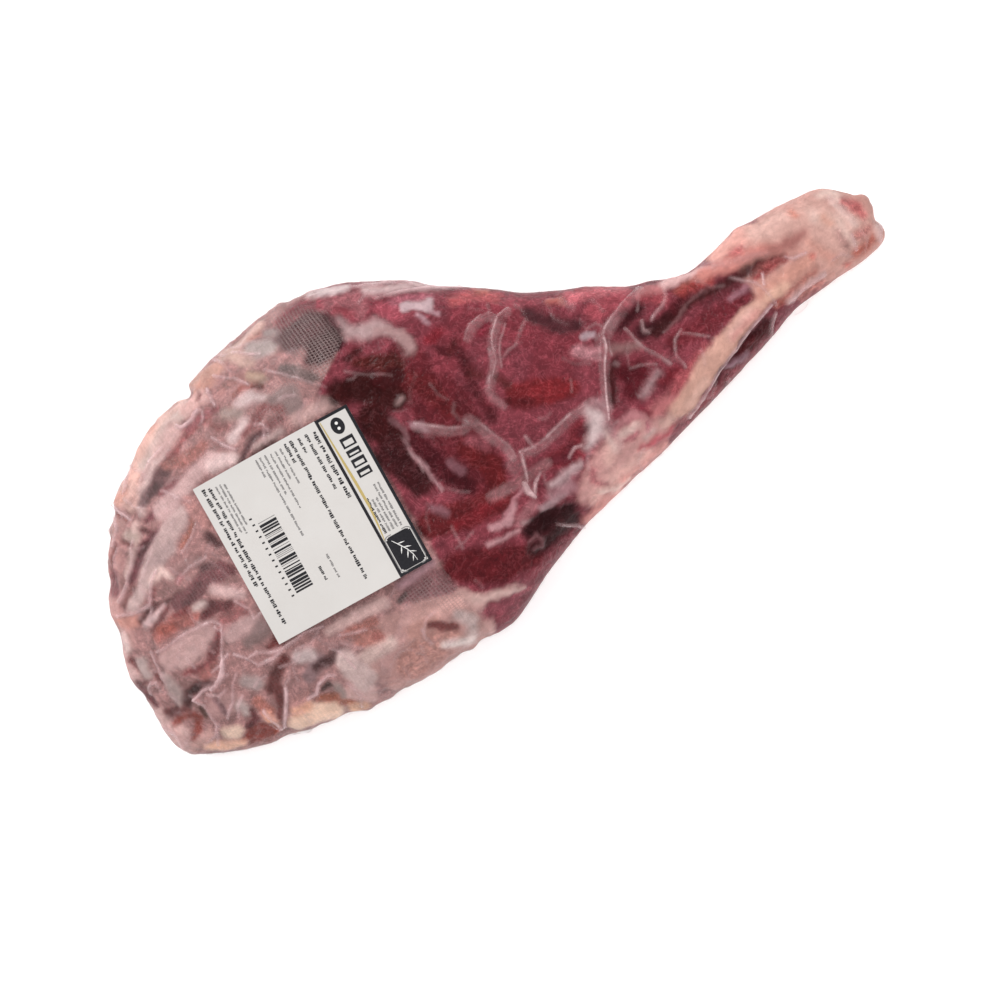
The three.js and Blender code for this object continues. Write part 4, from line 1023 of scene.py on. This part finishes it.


# Co-extruded nylon and polythene film, clear and glossy: nearly unseen where flat, whitish along folds.
# The whitish folds are part clouded film and part painted highlight.
STREAK = 3.846  # mm between the film's faint streaks
clear_film = bpy.data.materials.new("vacuum_pouch_film")
clear_film.use_nodes = True
tree = clear_film.node_tree
tree.nodes.clear()
where = node(tree, "ShaderNodeTexCoord").outputs["Object"]
# the film's white, which carries the painted highlights of its folds and creases
milky_and_highlight = node(tree, "ShaderNodeAttribute", attribute_name="milky_and_highlight").outputs["Fac"]
streaks = node(
    tree, "ShaderNodeTexNoise",
    [("Vector", where), ("Scale", 1000 / STREAK), ("Detail", 3.0), ("Distortion", 0.8)],
)
patchy = node(
    tree, "ShaderNodeMapRange",
    [
        ("Value", streaks.outputs["Fac"]), ("From Min", 0.3), ("From Max", 0.7), ("To Min", 0.8),
        ("To Max", 1.2),
    ],
)
shown = node(
    tree, "ShaderNodeMath", [(0, milky_and_highlight), (1, patchy.outputs[0])], operation="MULTIPLY", use_clamp=True
)
rise = node(
    tree, "ShaderNodeBump", [("Height", streaks.outputs["Fac"]), ("Distance", 0.0006), ("Strength", 0.6)]
)
surface = node(
    tree, "ShaderNodeBsdfPrincipled",
    [
        ("Base Color", linear("dcb6b8")), ("Roughness", 0.22), ("IOR", 1.5), ("Specular IOR Level", 0.6),
        ("Alpha", shown.outputs[0]), ("Normal", rise.outputs["Normal"]),
    ],
)
node(tree, "ShaderNodeOutputMaterial", [("Surface", surface.outputs[0])])

top_mesh = wrapped("top")
film_top = piece("film_upper_sheet", top_mesh, clear_film)
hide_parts("film_top")
film_bottom = piece("film_lower_sheet", wrapped("bottom"), clear_film)
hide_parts("film_bottom")


# The weld: a narrow crimped flange where the two sheets meet, trimmed close to the leg and ragged in places.
# It is of the same film, two layers thick, so it shows a little whiter than the sheets.

# where the flange is left wider: mm more, and a spot of (x, y, half width)
FLANGE = [
    (1.6, (-128, 104, 5)), (2.4, (184, -56, 5)), (1.6, (6, 84, 6)), (1.4, (34, 58, 6)), (1.6, (-214, 55, 4)),
]
edge_bm = bmesh.new()
edge_bm.from_mesh(top_mesh)
open_edges = [e for e in edge_bm.edges if e.is_boundary]
start = max(open_edges, key=lambda e: e.verts[0].co.x).verts[0]
loop, here, came = [start.co.copy() * 1000], start, None
while True:
    way = next((e for e in here.link_edges if e.is_boundary and e is not came), None)
    here, came = way.other_vert(here), way
    if here is start or len(loop) > 20000:
        break
    loop.append(here.co.copy() * 1000)
edge_bm.free()
line = np.array(loop)
for _ in range(30):
    line = 0.5 * line + 0.25 * (np.roll(line, 1, 0) + np.roll(line, -1, 0))
line = line[::2]
ahead = np.roll(line, -1, 0) - np.roll(line, 1, 0)
area = (line[:, 0] * np.roll(line[:, 1], -1) - np.roll(line[:, 0], -1) * line[:, 1]).sum()
aside = np.column_stack([ahead[:, 1], -ahead[:, 0], np.zeros(len(line))]) * (1 if area > 0 else -1)
aside /= np.linalg.norm(aside, axis=1)[:, None]
wide = 0.3 + 0.3 * lumps(line, 9, 51) + 0.2 * lumps(line, 3, 52)
for more, spot in FLANGE:
    wide += more * cover(line, [spot], 3.0)
wide = np.clip(wide, 0.1, 4)
rows = []
for k in range(4):
    row = line + aside * (wide * k / 3)[:, None] - aside * (0.5 if k == 0 else 0)
    row[:, 2] += (0.5 * lumps(line, 6, 53) + 0.3 * lumps(line, 2.4, 54)) * k / 3
    rows.append(row)
count = len(line)
flange_mesh = bpy.data.meshes.new("weld")
flange_faces = [
    (k * count + i, k * count + (i + 1) % count, (k + 1) * count + (i + 1) % count, (k + 1) * count + i)
    for k in range(3) for i in range(count)
]
flange_mesh.from_pydata((np.concatenate(rows) / 1000).tolist(), [], flange_faces)
milky_and_highlight = np.repeat([0.1, 0.12, 0.16, 0.3], count) + 0.06 * lumps(np.concatenate(rows), 4, 55)
mark(flange_mesh, "milky_and_highlight", milky_and_highlight)
piece("film_weld", flange_mesh, clear_film)


# The label: a nearly square white paper sticker on the outside of the film, printed black with a header band.
# Its print is generic: rows of small blocks for lines of type, bars, a disc and a plain sprig of leaves.

LABEL_WIDE, LABEL_LONG = 98.0, 97.0  # mm along the lines of type, and from the header to the last line
LABEL_TURN = math.radians(-95)  # the way the lines of type run
LABEL_THICK = 0.15  # mm

label_low, label_high = (np.array(corner) * 1000 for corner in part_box("label"))
middle_of_label = (label_low + label_high)[:2] / 2 + np.array([-1.05, 0.25])
reading = np.array([math.cos(LABEL_TURN), math.sin(LABEL_TURN)])
below = np.array([math.cos(LABEL_TURN - math.pi / 2), math.sin(LABEL_TURN - math.pi / 2)])
tree_of_film = BVHTree.FromPolygons(
    [v.co * 1000 for v in top_mesh.vertices], [tuple(f.vertices) for f in top_mesh.polygons]
)
s, t = (a.ravel() for a in np.meshgrid(np.linspace(0, LABEL_WIDE, 33), np.linspace(0, LABEL_LONG, 33)))
ground = middle_of_label + np.outer(s - LABEL_WIDE / 2, reading) + np.outer(t - LABEL_LONG / 2, below)
under = np.array([tree_of_film.ray_cast(Vector((*g, 300)), Vector((0, 0, -1)))[0].z for g in ground])


def bent(s, t):
    """The terms of a gentle bend: the paper curves but can't dent."""
    s, t = np.asarray(s) / LABEL_WIDE - 0.5, np.asarray(t) / LABEL_LONG - 0.5
    return np.column_stack([np.ones_like(s), s, t, s * s, s * t, t * t, s**3, t**3])


bend = np.linalg.lstsq(bent(s, t), under, rcond=None)[0]
bend[0] += np.percentile(under - bent(s, t) @ bend, 99.7)


def on_label(s, t, lift=0.0):
    """The place, in metres, of a point s mm along the lines of type and t mm below the top edge."""
    s, t = np.atleast_1d(s).astype(float), np.atleast_1d(t).astype(float)
    flat = middle_of_label + np.outer(s - LABEL_WIDE / 2, reading) + np.outer(t - LABEL_LONG / 2, below)
    # the long edge by the last words has come away a little
    loose = 1.1 * np.clip((s - 84) / 14, 0, 1) ** 2 * (0.6 + 0.4 * np.sin(t / 17))
    return np.column_stack([flat, bent(s, t) @ bend + loose + lift]) / 1000


label_mesh = bpy.data.meshes.new("label")
corners, faces = [], []
steps = 48
for layer in (0.0, LABEL_THICK):
    for i in range(steps + 1):
        row_s = np.full(steps + 1, LABEL_WIDE * i / steps)
        corners += on_label(row_s, np.linspace(0, LABEL_LONG, steps + 1), layer).tolist()
side = steps + 1
for i in range(steps):
    for j in range(steps):
        a = i * side + j
        faces.append((a, a + side, a + side + 1, a + 1))
        faces.append(tuple(side * side + k for k in (a, a + 1, a + side + 1, a + side)))
rim = [(i, 0) for i in range(steps)] + [(steps, j) for j in range(steps)]
rim += [(i, steps) for i in range(steps, 0, -1)] + [(0, j) for j in range(steps, 0, -1)]
for (i, j), (k, l) in zip(rim, rim[1:] + rim[:1]):
    a, b = i * side + j, k * side + l
    faces.append((b, a, a + side * side, b + side * side))
label_mesh.from_pydata(corners, [], faces)

# Uncoated thermal paper: off-white and matt, with the faint cloudiness of its fibres.
CLOUD, FIBRE = 16.667, 0.4  # mm across the paper's cloudiness and its fibres, coarser than real ones to show
label_paper = bpy.data.materials.new("thermal_label_paper")
label_paper.use_nodes = True
tree = label_paper.node_tree
tree.nodes.clear()
where = node(tree, "ShaderNodeTexCoord").outputs["Object"]
cloud = node(tree, "ShaderNodeTexNoise", [("Vector", where), ("Scale", 1000 / CLOUD), ("Detail", 5.0)])
tone = node(
    tree, "ShaderNodeMix",
    [(0, cloud.outputs["Fac"]), (6, linear("c4bfbb")), (7, linear("ccc8c5"))], data_type="RGBA",
)
grit = node(tree, "ShaderNodeTexNoise", [("Vector", where), ("Scale", 1000 / FIBRE), ("Detail", 2.0)])
rise = node(
    tree, "ShaderNodeBump", [("Height", grit.outputs["Fac"]), ("Distance", 0.00005), ("Strength", 0.3)]
)
surface = node(
    tree, "ShaderNodeBsdfPrincipled",
    [
        ("Base Color", tone.outputs[2]), ("Roughness", 0.6), ("Specular IOR Level", 0.3),
        ("Normal", rise.outputs["Normal"]),
    ],
)
node(tree, "ShaderNodeOutputMaterial", [("Surface", surface.outputs[0])])


INK_PATCH = 1.111  # mm across the uneven spots in the ink


def ink(name, shade, paler):
    """Printed ink: matt, and slightly uneven where the paper's grain takes less of it."""
    made = bpy.data.materials.new(name)
    made.use_nodes = True
    tree = made.node_tree
    tree.nodes.clear()
    where = node(tree, "ShaderNodeTexCoord").outputs["Object"]
    patchy = node(
        tree, "ShaderNodeTexNoise", [("Vector", where), ("Scale", 1000 / INK_PATCH), ("Detail", 3.0)]
    )
    tone = node(
        tree, "ShaderNodeMix",
        [(0, patchy.outputs["Fac"]), (6, linear(shade)), (7, linear(paler))], data_type="RGBA",
    )
    surface = node(
        tree, "ShaderNodeBsdfPrincipled",
        [("Base Color", tone.outputs[2]), ("Roughness", 0.5), ("Specular IOR Level", 0.2)],
    )
    node(tree, "ShaderNodeOutputMaterial", [("Surface", surface.outputs[0])])
    return made


label = piece("paper_label", label_mesh, label_paper)
label_mesh.polygons.foreach_set("use_smooth", [False] * len(label_mesh.polygons))
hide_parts("label")

# The print: each mark is a thin flake of ink on the paper.
INK_LIFT = 0.06  # mm above the paper
flakes, flake_faces, flake_inks = [], [], []


def flake(outline, which, layer=0):
    """One mark, a convex outline of (s, t) points, in the ink numbered which."""
    outline = np.array(outline, float)
    after = np.roll(outline, -1, 0)
    turned = (after[:, 0] * outline[:, 1] - outline[:, 0] * after[:, 1]).sum()
    if turned < 0:
        outline = outline[::-1]
    first, many = len(flakes), len(outline)
    top = LABEL_THICK + INK_LIFT * (1 + 0.5 * layer)
    for lift in (LABEL_THICK - 0.02, top):
        flakes.extend(on_label(outline[:, 0], outline[:, 1], lift).tolist())
    flake_faces.append(tuple(range(first + many, first + 2 * many)))
    flake_faces.extend(
        (first + k, first + (k + 1) % many, first + many + (k + 1) % many, first + many + k)
        for k in range(many)
    )
    flake_inks.extend([which] * (many + 1))


def strip(s0, t0, s1, t1, which, layer=0):
    """A straight-sided block of ink, cut into short lengths so that it bends with the paper."""
    cuts = max(1, int(math.ceil(abs(s1 - s0) / 6)))
    rows = max(1, int(math.ceil(abs(t1 - t0) / 6)))
    for i in range(cuts):
        for j in range(rows):
            a, b = (s0 + (s1 - s0) * k / cuts for k in (i, i + 1))
            c, d = (t0 + (t1 - t0) * k / rows for k in (j, j + 1))
            flake([(a, c), (b, c), (b, d), (a, d)], which, layer)


def ribbon(path, wide, which, layer=0):
    """A drawn line of ink through (s, t) points, with a width at each."""
    path, wide = np.array(path, float), np.broadcast_to(wide, len(path))
    run = np.gradient(path, axis=0)
    across = np.column_stack([-run[:, 1], run[:, 0]]) / np.linalg.norm(run, axis=1)[:, None]
    left, right = path + across * wide[:, None] / 2, path - across * wide[:, None] / 2
    for k in range(len(path) - 1):
        flake([left[k], left[k + 1], right[k + 1], right[k]], which, layer)


BLACK, GREY, GOLD, WHITE = range(4)
setter = np.random.default_rng(5)


def row_of_type(s0, s1, t, high, which, word=(2.5, 8)):
    """A line that stands for type: uneven blocks grouped as words, with no letters in it."""
    s = s0
    while s < s1 - 0.6:
        end = min(s1, s + setter.uniform(*word))
        while s < end - 0.4:
            wide = min(setter.uniform(0.45, 1.0) * high * 0.55, end - s)
            tall = high * setter.choice([0.62, 0.8, 1.0])
            drop = setter.uniform(0, 1) * (high - tall)
            strip(s, t - high / 2 + drop, s + wide, t - high / 2 + drop + tall, which)
            s += wide + high * 0.14
        s += high * 0.55


# header band: a black frame, with the ink mark, the plain bold bars and the black panel inside it
FRAME, BAND = 1.7, 20.0
strip(0, 0, LABEL_WIDE, FRAME, BLACK)
strip(0, BAND - FRAME, LABEL_WIDE, BAND, BLACK)
strip(0, FRAME, FRAME, BAND - FRAME, BLACK)
strip(LABEL_WIDE - FRAME, FRAME, LABEL_WIDE, BAND - FRAME, BLACK)
ring = np.linspace(0, 2 * math.pi, 29)[:-1]
flake([(8.2 + 4.8 * math.cos(a), 9.8 + 3.7 * math.sin(a)) for a in ring], BLACK)
for spot in ((6.6, 9.8), (9.8, 9.8)):
    flake([(spot[0] + 0.9 * math.cos(a), spot[1] + 0.9 * math.sin(a)) for a in ring[::2]], WHITE, 1)
for start, end, high in ((15.5, 21.5, 8.0), (23.0, 27.0, 8.0), (28.5, 33.5, 8.0), (35.0, 39.5, 8.0)):
    strip(start, 5.0, start + 1.9, 5.0 + high, BLACK)
    strip(start + 1.9, 5.0, end, 6.2, BLACK)
    strip(start + 1.9, 11.8, end, 13.0, BLACK)
    strip(end - 1.0, 6.2, end, 11.8, BLACK)
swash = [(2, 17.6), (20, 17.0), (40, 16.3), (56, 16.0), (68, 16.9), (76, 17.8)]
ribbon(swash, [0.5, 1.0, 1.6, 1.5, 0.9, 0.4], GOLD)
for t, from_s, which in ((5.6, 46, GREY), (8.0, 46, GREY), (10.4, 53, GREY), (12.8, 53, GREY)):
    row_of_type(from_s, 73, t, 1.3, which)
row_of_type(51, 73, 15.2, 1.5, BLACK)
panel = []
for cs, ct, a0 in ((93, 5.5, -90), (93, 14.5, 0), (78.5, 14.5, 90), (78.5, 5.5, 180)):
    panel += [
        (cs + 3 * math.cos(math.radians(a0 + k)), ct + 3 * math.sin(math.radians(a0 + k)))
        for k in range(0, 91, 18)
    ]
border = [(p[0] + 0.7 * np.sign(p[0] - 85.7), p[1] + 0.7 * np.sign(p[1] - 10)) for p in panel + panel[:2]]
ribbon(border, 0.5, GREY)
for k in range(15):
    inset = 3 - math.sqrt(9 - max(0.0, 2.5 - k, k - 11.5) ** 2)
    strip(75.5 + inset, 2.5 + k, 96 - inset, 3.5 + k, BLACK)
ribbon([(78, 14.6), (82, 11.8), (86, 9.2), (90, 7.6), (94, 7.0)], [0.3, 0.5, 0.5, 0.4, 0.2], WHITE, 1)
for stem, tip, width in (
    ((81, 12.4), (81.5, 8.4), 0.7), ((84, 10.4), (85.5, 6.4), 0.7), ((87.5, 8.6), (89.5, 5.2), 0.6),
    ((83, 11.2), (87, 13.2), 0.7), ((86.5, 9.0), (90.5, 11.2), 0.7), ((90, 7.6), (93.5, 9.4), 0.6),
):
    ribbon([stem, ((stem[0] + tip[0]) / 2, (stem[1] + tip[1]) / 2), tip], [0.2, width, 0.1], WHITE, 1)

# body: rows of type, the bars with their row of figures, and the lines at the foot
for t, s0, s1, high, which in (
    (23.0, 5, 46, 2.3, BLACK), (27.6, 4, 38, 1.9, BLACK), (32.0, 4, 13, 1.7, BLACK),
    (36.6, 3, 90, 2.0, BLACK),
    (40.0, 3, 16, 1.9, BLACK), (43.6, 4, 26, 1.2, GREY), (46.6, 4, 22, 1.2, GREY), (49.6, 4, 38, 1.2, GREY),
    (52.8, 3, 28, 1.2, GREY), (55.8, 3, 52, 1.3, GREY), (58.4, 3, 14, 1.2, GREY), (49.4, 67, 82, 1.4, GREY),
    (56.2, 71, 81, 1.6, BLACK), (80.2, 6, 32, 1.2, GREY), (82.6, 5, 36, 1.2, GREY), (85.0, 5, 34, 1.2, GREY),
    (88.6, 4, 90, 2.1, BLACK), (92.2, 3, 64, 2.1, BLACK),
):
    row_of_type(s0, s1, t, high, which)
s = 34.0
while s < 79:
    wide = setter.choice([0.35, 0.35, 0.7, 1.1, 1.6])
    strip(s, 64.0, min(s + wide, 79.5), 74.5, BLACK if wide > 0.5 else GREY)
    s += wide + setter.choice([0.4, 0.6, 1.1])
for s in np.arange(29.5, 78, 3.7):
    strip(s, 76.2, s + 0.9, 77.8, BLACK)

print_mesh = bpy.data.meshes.new("label_print")
print_mesh.from_pydata(flakes, [], flake_faces)
inks = [
    ink("black_print", "17161a", "2b2a2e"), ink("grey_print", "5c5a5c", "8a8785"),
    ink("gold_print", "a8925a", "bda96f"), ink("white_print", "d8d5d2", "e2dfdc"),
]
label_print = piece("label_print", print_mesh, inks)
print_mesh.polygons.foreach_set("material_index", flake_inks)
print_mesh.polygons.foreach_set("use_smooth", [False] * len(print_mesh.polygons))
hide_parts("label")


# The floor and the light: a plain white studio sweep, big soft boxes on both sides, and fill from above.
# The camera looks straight down from 1.6 m, turned so that the leg lies from lower left to upper right.

floor_mesh = bpy.data.meshes.new("floor")
floor_mesh.from_pydata([(-3, -3, 0), (3, -3, 0), (3, 3, 0), (-3, 3, 0)], [], [(0, 1, 2, 3)])
floor = bpy.data.objects.new("floor", floor_mesh)
bpy.context.scene.collection.objects.link(floor)
paper_sweep = bpy.data.materials.new("white_paper_sweep")
paper_sweep.use_nodes = True
matt = paper_sweep.node_tree.nodes["Principled BSDF"]
matt.inputs["Base Color"].default_value = linear("fbfbfb")
matt.inputs["Roughness"].default_value = 0.9
matt.inputs["Specular IOR Level"].default_value = 0.1
matt.inputs["Emission Color"].default_value = (1, 1, 1, 1)
matt.inputs["Emission Strength"].default_value = 0.35
floor_mesh.materials.append(paper_sweep)


def soft_box(name, spot, size, power, shines=True):
    """A square soft light of size metres at spot, aimed at the middle of the leg."""
    lamp = bpy.data.lights.new(name, "AREA")
    lamp.shape, lamp.size, lamp.energy = "SQUARE", size, power
    box = bpy.data.objects.new(name, lamp)
    bpy.context.scene.collection.objects.link(box)
    box.location = spot
    box.rotation_euler = (Vector(spot) - Vector((0, 0, 0.04))).to_track_quat("Z", "Y").to_euler()
    box.visible_glossy = shines


soft_box("soft_box_key", (-0.45, 1.25, 1.2), 0.7, 20)
soft_box("soft_box_side", (0.7, -1.2, 1.2), 0.9, 8, shines=False)
soft_box("overhead_fill", (0.0, 0.0, 2.4), 2.6, 25, shines=False)

world = bpy.data.worlds.new("studio")
bpy.context.scene.world = world
world.use_nodes = True
world.node_tree.nodes["Background"].inputs["Color"].default_value = (1, 1, 1, 1)
world.node_tree.nodes["Background"].inputs["Strength"].default_value = 0.42

lens = bpy.data.cameras.new("camera")
lens.lens, lens.sensor_width = 100, 36
camera = bpy.data.objects.new("camera", lens)
bpy.context.scene.collection.objects.link(camera)
camera.location = (-0.01875, -0.0502, 1.6133)
camera.rotation_euler = (0, 0, math.radians(-34))
bpy.context.scene.camera = camera
bpy.context.scene.view_settings.view_transform = "Standard"
